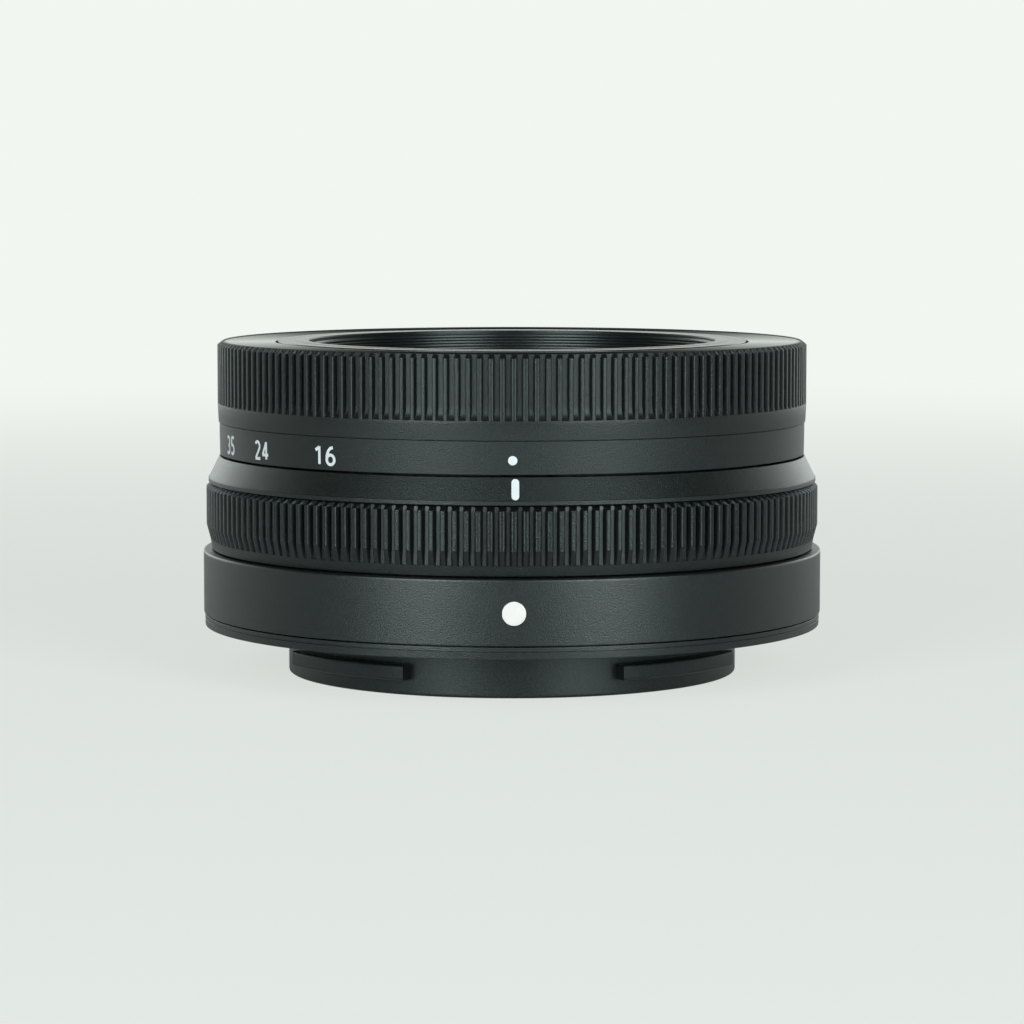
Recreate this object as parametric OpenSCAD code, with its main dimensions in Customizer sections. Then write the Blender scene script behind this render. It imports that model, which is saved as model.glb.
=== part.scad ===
// Camera zoom lens, drawn retracted, standing on its bayonet.
// Origin at the centre of the mount flange, optical axis on Z, front of the lens towards +Z.

/* [Outer rings] */
// Outer diameter of the rear cover
body_d = 70; // [68:0.5:74]
// Height of the rear cover wall
cover_h = 6.8; // [6:0.2:9]
// Height of the control ring
control_h = 7.3; // [6.5:0.1:9]
// Height of the index ring
index_h = 2.75; // [2.2:0.05:4]
// Height of the scale band on the zoom ring
scale_h = 3.6; // [3:0.1:5]
// Height of the flare under the zoom grip
flare_h = 1.85; // [1:0.05:3]
// Height of the ribbed zoom grip
grip_h = 7.3; // [6.5:0.1:9]
// Gap that shows between neighbouring rings
ring_gap = 0.2; // [0.15:0.05:0.4]
// Height of the seam ring above the flange plane
seam_reveal = 0.25; // [0.1:0.05:0.6]
// Groove between seam ring and rear cover
seam_groove = 0.3; // [0.2:0.05:0.6]
// Radial step of the seam ring
seam_inset = 0.2; // [0.1:0.05:0.4]
// Radial step of the control ring
control_inset = 0.35; // [0.2:0.05:0.6]
// Radial step of the foot of the index ring
index_inset = 0.6; // [0.4:0.05:0.8]
// Radial step of the zoom grip
grip_inset = 1.65; // [1.5:0.05:1.8]
// Radial step of the scale band
scale_inset = 1.9; // [1.85:0.05:2.1]
// Chamfer on the outer edges
edge_chamfer = 0.25; // [0.15:0.05:0.35]
// Height of the smooth neck of the control ring
neck_h = 1.15; // [0.8:0.05:1.5]
// Height of the taper between neck and control ribs
taper_h = 1.55; // [1:0.05:2]
// Upright foot of the index ring
index_foot_h = 0.35; // [0.2:0.05:0.6]
// Fall of the zoom ring face towards its edge
face_fall = 0.1; // [0.05:0.05:0.2]
// Diameter of the white mounting index
index_dot_d = 2.6; // [2:0.1:3.2]
// Depth of the socket of the mounting index
index_dot_depth = 0.9; // [0.6:0.1:1.2]

/* [Ribs] */
// Ribs around each ring
rib_count = 172; // [120:1:200]
// Width of one rib
rib_w = 0.5; // [0.35:0.05:0.7]
// Depth of the groove between ribs
rib_depth = 0.4; // [0.25:0.05:0.5]
// Smooth lip under the zoom ribs
rib_lip = 0.3; // [0.2:0.05:0.5]
// Ribs stop this far short of the ring edge
rib_end = 0.4; // [0.3:0.05:0.6]

/* [Walls and fits] */
// Wall of the control ring under its grooves
control_wall = 0.9; // [0.7:0.05:1.1]
// Wall of the outer barrel
outer_wall = 1.2; // [1:0.1:1.4]
// Recess in the outer barrel for the encoder strip
strip_recess = 0.55; // [0.45:0.05:0.6]
// Wall of the zoom ring under its grooves
zoom_wall = 1.4; // [1.2:0.1:1.6]
// Wall of the cam barrel
cam_wall = 1.5; // [1.2:0.1:1.7]
// Wall of the guide barrel
guide_wall = 1.3; // [1.1:0.1:1.5]
// Wall of the front barrel
barrel_wall = 1.2; // [1:0.1:1.4]
// Wall of the front lens cell
cell_wall = 1.5; // [1.2:0.1:1.8]
// Thickness of the plates behind the barrels
plate_t = 1; // [0.8:0.1:1.4]
// Thickness of the front lip of the zoom ring
lip_t = 1.2; // [1:0.1:1.6]
// Thickness of the felt seal
felt_t = 0.25; // [0.2:0.05:0.4]
// Clearance between parts that run on each other
run_gap = 0.15; // [0.1:0.01:0.2]
// Clearance of a shaft in its bore
shaft_gap = 0.05; // [0.03:0.01:0.08]
// Clearance between parts that are fixed to each other
fit_gap = 0.05; // [0.02:0.01:0.08]
// Axial stop clearance between lens groups
stop_gap = 0.3; // [0.2:0.05:0.5]
// Step of the outer barrel behind the index ring
neck_step = 0.6; // [0.5:0.05:0.7]
// Lip that a lens rests on
cell_lip = 0.8; // [0.6:0.05:1]
// Thickness of that lip
seat_t = 0.5; // [0.4:0.05:0.6]
// Gap between neighbouring lenses
lens_gap = 0.5; // [0.4:0.05:0.7]

/* [Front barrel and cams] */
// Gap between zoom ring and cam barrel, bridged by the keys
key_gap = 1.95; // [1.6:0.05:2.4]
// Width of the front rim outside the filter thread
rim_w = 3.5; // [3.2:0.1:4]
// Step from the filter thread to the seat of the trim ring
thread_step = 0.3; // [0.2:0.05:0.4]
// Gap between zoom ring lip and front barrel
mouth_gap = 0.6; // [0.4:0.05:0.8]
// Depth of the shelf that holds the front cell
shelf_depth = 5.7; // [5:0.1:6]
// Thickness of that shelf
shelf_t = 0.8; // [0.6:0.1:1]
// Width of that shelf inside the filter bore
shelf_lip = 0.8; // [0.6:0.1:1]
// Height of the front barrel foot above the flange
barrel_foot_z = 4.6; // [4.3:0.1:4.9]
// Travel of the front group
front_travel = 20; // [18:0.5:20.5]
// Travel of the middle group
middle_travel = 10; // [8:0.5:11]
// Turn of the zoom ring
zoom_turn = 88; // [75:1:90]
// Diameter of a follower pin
pin_d = 2; // [1.6:0.1:2.2]
// Height of the front follower pins above the foot of the front barrel
front_pin_rise = 1.4; // [1.2:0.1:1.8]
// Height of the middle follower pins above the middle frame's plate
middle_pin_rise = 1.8; // [1.6:0.1:2.1]
// Direction of the first front follower
front_pin_az = 90; // [80:1:100]
// Middle followers lag the front ones by this angle
pin_lag = 40; // [36:1:44]
// Width of a key between zoom ring and cam barrel
key_w = 5; // [3:0.5:7]
// Height of a key
key_h = 3; // [2:0.2:4]
// Clearance of the foot notches round a middle follower
foot_clear = 0.65; // [0.5:0.05:0.8]

/* [Mount] */
// Width of the seam ring round the flange
seam_w = 3.45; // [3:0.05:4]
// Thickness of the mount flange
flange_t = 1.6; // [1.5:0.1:2]
// Wall of the bayonet spigot
spigot_wall = 2.8; // [2.4:0.1:3.2]
// Depth of the spigot behind the flange
spigot_depth = 5.4; // [5.1:0.1:6]
// Lugs stop this far inside the flange edge
lug_inset = 4.1; // [3.8:0.1:4.4]
// Height of a lug above the spigot
lug_h = 1.8; // [1.5:0.1:2]
// Number of lugs
lug_count = 4; // [3:1:4]
// Angle that one lug spans
lug_angle = 38; // [30:1:45]
// Thickness of a lug
lug_t = 1.7; // [1.4:0.1:2]
// Gap between flange and lug
lug_drop = 1.9; // [1.6:0.1:2.2]
// Depth of the relief round the spigot
relief_depth = 0.3; // [0.2:0.05:0.5]
// Rear cover plate laps the spigot by this much
cover_lap = 0.9; // [0.7:0.05:1.1]
// Ledge that the baffle sits against
ledge_w = 1; // [0.8:0.1:1.2]
// Depth of that ledge behind the flange
ledge_depth = 1.4; // [1.2:0.1:1.6]
// Mount screws
screw_count = 4; // [3:1:4]
// Mount screws sit this far inside the flange edge
screw_inset = 1.9; // [1.8:0.05:2.1]
// Shank diameter of a mount screw
screw_d = 1.6; // [1.2:0.1:1.8]
// Head diameter of a mount screw
screw_head_d = 2.8; // [2.4:0.1:3]
// Height of the countersunk head
screw_head_h = 0.7; // [0.5:0.1:0.9]
// Length of a mount screw
screw_length = 3.2; // [2.9:0.1:3.4]
// Diameter of the lock pin hole
lock_d = 2.6; // [2:0.1:3]
// Depth of the lock pin hole
lock_depth = 1; // [0.8:0.1:1.2]
// Thickness of the rear baffle
baffle_t = 0.8; // [0.6:0.1:1]
// Width of the light window
window_w = 25; // [23:0.5:27]
// Height of the light window
window_h = 17; // [15:0.5:19]
// Electric contacts
contact_count = 11; // [8:1:12]
// Angle that the contact block spans
contact_arc = 66; // [60:1:72]
// Radial width of the contact block
contact_w = 3.4; // [3:0.1:3.6]
// Height of the contact block
contact_h = 2.8; // [2.5:0.1:2.9]
// Diameter of a contact
contact_d = 1.3; // [1:0.1:1.5]
// Contacts stand out by this much
contact_rise = 0.2; // [0.1:0.05:0.3]

/* [Electronics] */
// Thickness of the main board
board_t = 0.8; // [0.6:0.1:0.9]
// Inner diameter of the main board
board_hole_d = 34; // [33:0.5:35]
// Angle that the board spans
board_arc = 280; // [270:1:284]
// Height of the chips
chip_h = 0.8; // [0.5:0.1:0.9]
// Side of the largest chip
chip_w = 5; // [4:0.2:5.4]
// Width of the contact ribbon
ribbon_w = 6; // [4:0.5:8]
// Thickness of the contact ribbon
ribbon_t = 0.15; // [0.1:0.01:0.2]
// Width of the control ring sensor
sensor_w = 3; // [2.4:0.1:3.6]
// Height of the control ring sensor
sensor_h = 1.6; // [1.2:0.1:1.8]
// Teeth of the encoder strip
strip_teeth = 60; // [40:1:80]
// Height of the encoder strip
strip_h = 1.4; // [1:0.1:1.6]

/* [Rear lens and focus] */
// Diameter of the rear lens
rear_lens_d = 24.4; // [23.6:0.1:24.8]
// Thickness of the rear lens
rear_lens_t = 3.1; // [2.8:0.1:3.2]
// Radius of the rear lens front
rear_curve = 40; // [34:1:60]
// Height of the rear cell above the plate
rear_rim_h = 0.4; // [0.3:0.05:0.6]
// Diameter of the focus lens
focus_lens_d = 14; // [12:0.2:15]
// Thickness of the focus lens
focus_lens_t = 0.8; // [0.6:0.1:1]
// Radius of the focus lens hollow
focus_curve = 42; // [36:1:60]
// Wall of the focus cell
focus_wall = 2; // [1.6:0.1:2.2]
// Width of the focus cell arms
arm_w = 3.2; // [2.8:0.1:3.6]
// Thickness of the focus cell arms
arm_h = 1.2; // [1:0.1:1.6]
// Height of the focus cell
focus_cell_h = 2; // [1.8:0.1:2.2]
// Travel of the focus group
focus_travel = 2.5; // [2:0.1:2.8]
// Diameter of a guide rod
rod_d = 1.2; // [1:0.1:1.4]
// Gap between the rear cell and a guide rod
rod_gap = 0.4; // [0.3:0.05:0.6]
// Diameter of the lead screw
lead_d = 1.6; // [1.2:0.1:1.8]
// Gap between the iris base and the focus motor
motor_gap = 0.5; // [0.4:0.05:0.7]
// Gap between the focus motor and the front barrel
motor_back_gap = 1.9; // [1.6:0.1:2.2]
// Gap between the focus motor and the sides of its notch
notch_gap = 1.35; // [1:0.05:1.6]
// Height of the focus motor
motor_h = 5; // [4:0.1:5.4]
// Thickness of the focus bridge
bridge_t = 0.8; // [0.6:0.1:1]
// Width of the bridge beyond the guide rods
bridge_margin = 2.4; // [2:0.1:2.6]
// Width of the bridge beyond the motor
tab_margin = 0.2; // [0.1:0.05:0.4]
// Clearance of the bridge round the doublet
bridge_clear = 0.9; // [0.7:0.05:1.2]
// Diameter of a bridge leg
leg_d = 2.4; // [2:0.1:2.8]
// Legs stand outside the lead screw by this much
leg_offset = 1.2; // [1:0.1:1.4]

/* [Middle group] */
// Thickness of the middle frame plate
middle_plate_t = 0.7; // [0.6:0.1:0.9]
// Height of the middle frame wall
middle_wall_h = 3.7; // [3.4:0.1:4]
// Thickness of the middle frame wall
middle_wall = 1.5; // [1.3:0.1:1.8]
// Diameter of the doublet
doublet_d = 15; // [14:0.1:15.2]
// Radius of the cemented faces
doublet_curve = 40; // [36:1:60]
// Core of the rear half of the doublet
doublet_rear_t = 0.5; // [0.4:0.05:0.6]
// Core of the front half of the doublet
doublet_front_t = 1.2; // [1.1:0.05:1.3]
// Drop of the doublet under the middle frame
doublet_drop = 0.55; // [0.4:0.05:0.6]
// Diameter of the shift lens
shift_lens_d = 14; // [13:0.1:14.2]
// Radius of the shift lens hollow
shift_curve = 60; // [50:1:80]
// Core of the shift lens
shift_core_t = 0.5; // [0.4:0.05:0.6]
// Travel of the shift lens to each side
shift_travel = 0.4; // [0.3:0.05:0.45]
// Diameter of a shift ball
ball_d = 0.8; // [0.7:0.05:0.85]
// Thickness of the shift frame
shift_frame_t = 0.9; // [0.8:0.05:1]
// Diameter of the L-shaped shift rod
shift_rod_d = 0.8; // [0.6:0.05:0.85]
// Wall of the shift frame round its lens
shift_wall = 1.9; // [1.7:0.05:2]
// Distance of the shift balls from the axis
ball_r = 10.3; // [10.1:0.05:10.6]
// Gap between the shift frame ring and a magnet
magnet_gap = 0.85; // [0.65:0.05:1.05]
// Radial length of a magnet
magnet_l = 3.6; // [3:0.1:3.8]
// Width of a magnet
magnet_w = 5; // [4:0.1:5.4]
// Gap between the shift rod and the wall of its cavity
cavity_gap = 0.1; // [0.05:0.05:0.3]
// Wall of the stabiliser cavity
cavity_wall = 0.6; // [0.5:0.05:0.7]
// Thickness of the iris base
iris_base_t = 0.6; // [0.5:0.05:0.8]
// Thickness of an iris blade
blade_t = 0.1; // [0.08:0.01:0.11]
// Distance between neighbouring blade levels
blade_pitch = 0.17; // [0.16:0.01:0.2]
// Circle of the blade pivots
blade_pivot_r = 10.2; // [10.1:0.05:10.4]
// Radius of the open iris
iris_open_r = 6.7; // [6.5:0.05:6.8]
// Width of an iris blade
blade_w = 2.4; // [2.2:0.1:2.5]
// Angle that one blade spans
blade_span = 94; // [88:1:98]
// Distance between pivot and drive pin of a blade
blade_crank = 3.5; // [3.3:0.05:3.7]
// Turn of an iris blade
blade_turn = 20; // [16:1:22]
// Turn of the iris ring
iris_turn = 15; // [12:1:18]
// Diameter of the pins on a blade
blade_pin_d = 0.7; // [0.6:0.05:0.75]
// Outer diameter of the iris ring
iris_ring_d = 26; // [25.6:0.1:26.4]
// Thickness of the iris ring
iris_ring_t = 0.5; // [0.4:0.05:0.6]
// Web of the iris ring inside its drive slots
iris_web = 0.6; // [0.5:0.05:0.7]
// Wall of the iris cover skirt
skirt_wall = 1.2; // [1:0.1:1.4]
// Thickness of the iris cover
iris_cover_t = 0.55; // [0.5:0.05:0.7]
// Diameter of the fourth lens
fourth_lens_d = 13.2; // [12.8:0.1:13.2]
// Thickness of the fourth lens
fourth_lens_t = 1.4; // [1.3:0.1:1.6]
// Radius of the fourth lens front
fourth_curve = 26; // [24:1:40]

/* [Front group] */
// Diameter of the front lens
front_lens_d = 28; // [27:0.2:28.6]
// Centre thickness of the front lens
front_lens_t = 1.6; // [1.4:0.1:2]
// Radius of the front lens front
front_curve = 45; // [40:1:60]
// Rise of the front lens above its shelf
front_lens_rise = 1.6; // [1.4:0.1:1.8]
// Depth of the hollow behind the front lens
front_hollow = 2.6; // [2.4:0.1:2.8]
// Radius of that hollow
hollow_curve = 14; // [13:0.2:15]
// Diameter of the second lens
second_lens_d = 21.2; // [20.4:0.1:21.6]
// Centre thickness of the second lens
second_lens_t = 0.9; // [0.8:0.1:1.1]
// Radius of the second lens front
second_front_curve = 80; // [70:1:100]
// Radius of the second lens back
second_curve = 30; // [28:1:40]
// Diameter of the third lens
third_lens_d = 18; // [17:0.1:18.4]
// Centre thickness of the third lens
third_lens_t = 2; // [1.8:0.1:2.1]
// Radius of the third lens front
third_curve = 28; // [26:1:40]
// Height of the front trim ring
trim_h = 2.5; // [2.2:0.1:2.6]
// Width of the trim ring rim
trim_rim_w = 1.3; // [1:0.1:1.6]
// Thickness of the trim ring cone
trim_t = 0.8; // [0.6:0.1:0.9]

/* [Hidden] */

$fn = 180;
// Cutters pass the faces they cut by this much
over = 0.5;

// Radii of the rings that show
body_r = body_d / 2;
seam_r = body_r - seam_inset;
control_r = body_r - control_inset;
index_foot_r = body_r - index_inset;
grip_r = body_r - grip_inset;
scale_r = body_r - scale_inset;
control_floor_r = control_r - rib_depth;
grip_floor_r = grip_r - rib_depth;
control_root_r = control_floor_r - control_wall / 4;
grip_root_r = grip_floor_r - zoom_wall / 4;

// Radii of the nested barrels, from the outside in
control_ir = control_floor_r - control_wall;
outer_r = control_ir - run_gap;
outer_ir = outer_r - outer_wall;
outer_low_r = outer_r - strip_recess;
outer_neck_r = scale_r - neck_step;
zoom_ir = grip_floor_r - zoom_wall;
barrel_r = zoom_ir - key_gap - cam_wall - guide_wall - 2 * run_gap;
barrel_ir = barrel_r - barrel_wall;
guide_ir = barrel_r + run_gap;
guide_r = guide_ir + guide_wall;
cam_ir = guide_r + run_gap;
cam_r = cam_ir + cam_wall;
mouth_r = barrel_r + mouth_gap;
filter_r = barrel_r - rim_w;

// Heights of the rings that show
plate_z0 = flange_t;
plate_z1 = plate_z0 + plate_t;
cover_z0 = plate_z0 + seam_groove;
cover_z1 = cover_z0 + cover_h;
control_z0 = cover_z1 + ring_gap;
control_z1 = control_z0 + control_h;
index_z0 = control_z1 + ring_gap;
index_z1 = index_z0 + index_h;
zoom_z0 = index_z1 + ring_gap;
flare_z0 = zoom_z0 + scale_h;
grip_z0 = flare_z0 + flare_h;
front_z = grip_z0 + grip_h;
lip_z0 = front_z - lip_t;
barrels_z1 = lip_z0 - felt_t - run_gap;
guide_flange_z1 = plate_z1 + plate_t;
cam_z0 = guide_flange_z1 + run_gap;
shelf_z1 = front_z - shelf_depth;
shelf_z0 = shelf_z1 - shelf_t;

// Mount
flange_r = seam_r - seam_w - fit_gap;
lug_r = flange_r - lug_inset;
relief_r = lug_r + run_gap;
spigot_r = lug_r - lug_h;
throat_r = spigot_r - spigot_wall;
screw_circle_r = flange_r - screw_inset;
ledge_z = -ledge_depth;
ledge_r = throat_r - ledge_w;
baffle_z0 = ledge_z - baffle_t;
screw_az = 45;
contact_az = 90;
lock_az = 180;
contact_block_r = throat_r - fit_gap;
contact_ring_r = contact_block_r - contact_w / 2;
contact_z = baffle_z0 - contact_h;
ribbon_r = contact_ring_r - ribbon_t / 2;
cover_hole_r = spigot_r - cover_lap;
board_az = 90;
board_r = guide_ir - stop_gap;
board_z1 = plate_z1 + board_t;
ribbon_gap = 0.3;
sensor_az = 200;
sensor_z = control_z0 + ring_gap;

// Stabiliser and the focus motor beside it
ear_w = 1.8;
shift_bore_r = shift_lens_d / 2 + fit_gap;
shift_ring_r = shift_bore_r + shift_wall;
shift_rod_r = shift_ring_r + shift_travel + stop_gap + fit_gap + ear_w / 2;
magnet_r = shift_ring_r + magnet_gap + magnet_l / 2;
cavity_r = sqrt(2) * shift_rod_r + shift_rod_d / 2 + shift_travel + cavity_gap;
iris_base_r = cavity_r + cavity_wall;
motor_d = barrel_ir - iris_base_r - motor_gap - motor_back_gap;
lead_r = iris_base_r + motor_gap + motor_d / 2;
notch_angle = 2 * asin((motor_d / 2 + notch_gap) / lead_r);

// Rear cell and focus
rear_bore_r = rear_lens_d / 2 + fit_gap;
rear_cell_r = rear_bore_r + cell_wall;
rear_cell_z0 = ledge_z + run_gap;
rear_cell_z1 = plate_z1 + rear_rim_h;
rear_seat_z = rear_cell_z0 + seat_t;
rear_vertex_z = rear_seat_z + rear_lens_t;
rear_ring_r = rear_lens_d / 2 - cell_lip;
rear_ring_z = rear_vertex_z - sag(rear_curve, rear_ring_r) + fit_gap;
rod_hole_r = rod_d / 2 + shaft_gap;
rod_r = rear_cell_r + rod_hole_r + rod_gap;
lead_hole_r = lead_d / 2 + shaft_gap;
drive_az = 270;
guide_az = 90;
focus_z0 = rear_cell_z1 + 2 * stop_gap;
focus_bore_r = focus_lens_d / 2 + fit_gap;
focus_cell_r = focus_bore_r + focus_wall;
bridge_z0 = focus_z0 + focus_cell_h + focus_travel + stop_gap;
bridge_z1 = bridge_z0 + bridge_t;
bridge_hole_r = doublet_d / 2 + cell_lip + bridge_clear;
bridge_r = rod_r + bridge_margin;
bridge_tab_angle = 52;
bridge_tab_r = lead_r + motor_d / 2 + tab_margin;
leg_angle = 20;
leg_r = lead_r + leg_offset;

// Middle group
blade_count = 7;
middle_z0 = bridge_z1 + stop_gap;
middle_z1 = middle_z0 + middle_plate_t;
middle_r = barrel_ir - stop_gap;
doublet_bore_r = doublet_d / 2 + fit_gap;
doublet_boss_r = doublet_bore_r + cell_lip;
doublet_z0 = middle_z0 - doublet_drop;
shift_z0 = middle_z1 + ball_d + 2 * fit_gap;
shift_rod_z = middle_z1 + ball_d - fit_gap;
ear_l = 1.6;
ear_a = -5;
ear_b = 1.5;
rod_tail = 3;
iris_z0 = shift_z0 + shift_frame_t + stop_gap;
iris_z1 = iris_z0 + iris_base_t;
blade_z0 = iris_z1 + run_gap;
blade_end_z = blade_z0 + (blade_count - 1) * blade_pitch + blade_t;
iris_ring_z0 = blade_end_z + run_gap;
iris_ring_r = iris_ring_d / 2;
iris_ring_ir = norm(drive_point(1)) - blade_pin_d / 2 - shaft_gap - iris_web;
iris_cover_z0 = iris_ring_z0 + iris_ring_t + run_gap;
iris_cover_z1 = iris_cover_z0 + iris_cover_t;
iris_skirt_ir = iris_ring_r + run_gap;
iris_skirt_r = iris_skirt_ir + skirt_wall;
fourth_bore_r = fourth_lens_d / 2 + fit_gap;
fourth_seat_z = iris_cover_z0 + iris_cover_t / 2;
ball_places = [45, 135, 315];
ball_land_r = ball_d * 3 / 2;
notch_r = lead_r - motor_d / 2 - stop_gap;

// Front group
front_vertex_z = shelf_z1 + front_lens_rise;
front_back_z = front_vertex_z - front_lens_t - front_hollow;
hollow_r = sqrt(front_hollow * (2 * hollow_curve - front_hollow));
front_bore_r = front_lens_d / 2 + fit_gap;
front_cell_r = front_bore_r + cell_wall;
second_bore_r = second_lens_d / 2 + fit_gap;
second_front_z = front_back_z - lens_gap;
second_back_z = second_front_z - second_lens_t;
second_rim_z = second_back_z - sag(second_curve, second_lens_d / 2);
third_bore_r = third_lens_d / 2 + fit_gap;
third_front_z = second_back_z - lens_gap;
third_back_z = third_front_z - third_lens_t;
front_cell_z0 = third_back_z - seat_t;
cell_flange_z0 = shelf_z0 - plate_t;
shelf_r = filter_r - shelf_lip;
cell_flange_r = barrel_ir - fit_gap;
cell_screw_r = (shelf_r + barrel_ir) / 2;
cell_screw_d = 1.2;
cell_screw_az = 30;
cell_screw_head_d = 2.2;
cell_screw_head_h = 0.6;
cell_screw_count = 3;
trim_z1 = shelf_z1 + trim_h;
trim_seat_r = filter_r - thread_step;
trim_r = trim_seat_r - fit_gap;
trim_ir = front_lens_d / 2 - cell_lip;

// Followers
pin_r = pin_d / 2;
front_pin_z = barrel_foot_z + front_pin_rise;
middle_pin_z = middle_z0 + middle_pin_rise;
slot_r = pin_r + run_gap;
follower_count = 3;
follower_end_r = cam_r - run_gap;
slot_slices = 24;
slot_sides = 8;
slot_extra = slot_r + fit_gap;
foot_notch_w = pin_d + 2 * foot_clear;

// Sagitta of a sphere of radius c over the aperture radius r
function sag(c, r) = c - sqrt(c * c - r * r);

// Rise of a lens face at the radius r, signed by its bend
function bent(c, r) = c == 0 ? 0 : sign(c) * sag(abs(c), r);

// Point on a circle of radius r
function on_circle(r, a) = [r * cos(a), r * sin(a)];

// Point p turned by the angle a
function turned(p, a) = [p[0] * cos(a) - p[1] * sin(a), p[0] * sin(a) + p[1] * cos(a)];

// Ring between two radii and two heights
module ring(r_out, r_in, z0, z1) {
  rotate_extrude()
    polygon([[r_in, z0], [r_out, z0], [r_out, z1], [r_in, z1]]);
}

// Disc of radius r between two heights
module disc(r, z0, z1) {
  translate([0, 0, z0])
    cylinder(r = r, h = z1 - z0);
}

// Upright hole or pin at a polar place
module post(r, az, place_r, z0, z1) {
  rotate([0, 0, az])
    translate([place_r, 0, z0])
      cylinder(r = r, h = z1 - z0);
}

// Radial pin from one radius to another
module spoke(r, az, z, r0, r1) {
  rotate([0, 0, az])
    translate([r0, 0, z])
      rotate([0, 90, 0])
        cylinder(r = r, h = r1 - r0);
}

// Block that reaches from one radius to another
module block(az, r0, r1, w, z0, z1) {
  rotate([0, 0, az])
    translate([r0, -w / 2, z0])
      cube([r1 - r0, w, z1 - z0]);
}

// Part of a ring around the direction az
module sector(r_out, r_in, az, span, z0, z1) {
  rotate([0, 0, az - span / 2])
    rotate_extrude(angle = span)
      polygon([[r_in, z0], [r_out, z0], [r_out, z1], [r_in, z1]]);
}

// Copies of a piece around the axis
module around(count, start) {
  for (i = [0 : count - 1])
    rotate([0, 0, start + i * 360 / count])
      children();
}

// Outline of a ring with square teeth outside
module toothed_outline(r_out, r_floor, r_in, teeth, tooth_w) {
  half_out = asin(tooth_w / 2 / r_out);
  half_floor = asin(tooth_w / 2 / r_floor);
  step = 360 / teeth;
  difference() {
    polygon([
      for (i = [0 : teeth - 1])
        each [
          on_circle(r_floor, i * step - half_floor),
          on_circle(r_out, i * step - half_out),
          on_circle(r_out, i * step + half_out),
          on_circle(r_floor, i * step + half_floor)
        ]
    ]);
    circle(r = r_in);
  }
}

// Straight slot along the axis for a follower
module guide_slot(az, z0, travel) {
  spoke(slot_r, az, z0, guide_ir - over, guide_r + over);
  spoke(slot_r, az, z0 + travel, guide_ir - over, guide_r + over);
  block(az, guide_ir - over, guide_r + over, 2 * slot_r, z0, z0 + travel);
}

// Helical slot in the cam barrel for a follower
module cam_slot(az, z0, travel) {
  extra_turn = zoom_turn * slot_extra / travel;
  slope = atan(travel / (zoom_turn * PI / 180 * cam_ir));
  half = asin(slot_r / sin(slope) / cam_ir);
  r_in = cam_ir - over;
  r_out = cam_r + over;
  translate([0, 0, z0 - slot_extra])
    rotate([0, 0, az + extra_turn])
      linear_extrude(height = travel + 2 * slot_extra, twist = zoom_turn + 2 * extra_turn,
                     slices = slot_slices, $fn = slot_sides)
        polygon([
          on_circle(r_in, -half),
          on_circle(r_out, -half),
          on_circle(r_out, half),
          on_circle(r_in, half)
        ]);
}

// Lens between a back vertex and a front vertex; a bend lifts (+) or drops (-) the rim, 0 is flat
module lens(d, z_back, bend_back, z_front, bend_front) {
  steps = 20;
  radii = [for (i = [0 : steps]) d / 2 * i / steps];
  rotate_extrude()
    polygon(concat(
      [for (r = radii) [r, z_back + bent(bend_back, r)]],
      [for (i = [0 : steps]) [radii[steps - i], z_front + bent(bend_front, radii[steps - i])]]
    ));
}

// Bayonet flange with spigot and lugs
module mount_ring() {
  color("dimgray")
    difference() {
      union() {
        ring(flange_r, ledge_r, 0, plate_z0);
        ring(spigot_r, throat_r, -spigot_depth, 0);
        ring(throat_r + over, ledge_r, ledge_z, 0);
        around(lug_count, screw_az)
          sector(lug_r, spigot_r - over, 0, lug_angle, -lug_drop - lug_t, -lug_drop);
      }
      ring(relief_r, spigot_r, -over / 2, relief_depth);
      around(screw_count, screw_az)
        mount_screw_hole(plate_z0 + over);
      post(lock_d / 2, lock_az, screw_circle_r, -over, lock_depth);
    }
}

// Countersunk hole for a mount screw
module mount_screw_hole(z1) {
  translate([screw_circle_r, 0, 0]) {
    disc(screw_d / 2 + fit_gap, -over, z1);
    translate([0, 0, -fit_gap])
      cylinder(r1 = screw_head_d / 2 + fit_gap, r2 = screw_d / 2 + fit_gap, h = screw_head_h + fit_gap);
  }
}

// Screws that hold the mount
module mount_screws() {
  color("silver")
    around(screw_count, screw_az)
      translate([screw_circle_r, 0, 0])
        difference() {
          union() {
            cylinder(r = screw_d / 2, h = screw_length);
            cylinder(r1 = screw_head_d / 2, r2 = screw_d / 2, h = screw_head_h);
          }
          for (a = [0, 90])
            rotate([0, 0, a])
              translate([-screw_d / 2, -screw_d / 10, -over])
                cube([screw_d, screw_d / 5, over + screw_head_h / 2]);
        }
}

// Trim ring between mount and rear cover
module seam_ring() {
  color("#202020")
    rotate_extrude()
      polygon([
        [flange_r + fit_gap, seam_reveal],
        [seam_r - edge_chamfer, seam_reveal],
        [seam_r, seam_reveal + edge_chamfer],
        [seam_r, plate_z0],
        [flange_r + fit_gap, plate_z0]
      ]);
}

// Rear cover with its inner plate
module rear_cover() {
  plate_r = body_r - 2 * edge_chamfer;
  color("#1c1c1c")
    difference() {
      rotate_extrude()
        polygon([
          [cover_hole_r, plate_z0],
          [plate_r, plate_z0],
          [plate_r, cover_z0],
          [body_r - edge_chamfer / 2, cover_z0],
          [body_r, cover_z0 + edge_chamfer / 2],
          [body_r, cover_z1 - edge_chamfer],
          [body_r - edge_chamfer, cover_z1],
          [outer_low_r + fit_gap, cover_z1],
          [outer_low_r + fit_gap, plate_z1],
          [cover_hole_r, plate_z1]
        ]);
      around(screw_count, screw_az)
        translate([screw_circle_r, 0, 0])
          disc(screw_d / 2 + fit_gap, 0, plate_z1 + over);
      index_dot_shape(index_dot_d / 2 + fit_gap, body_r + over);
    }
}

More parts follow.
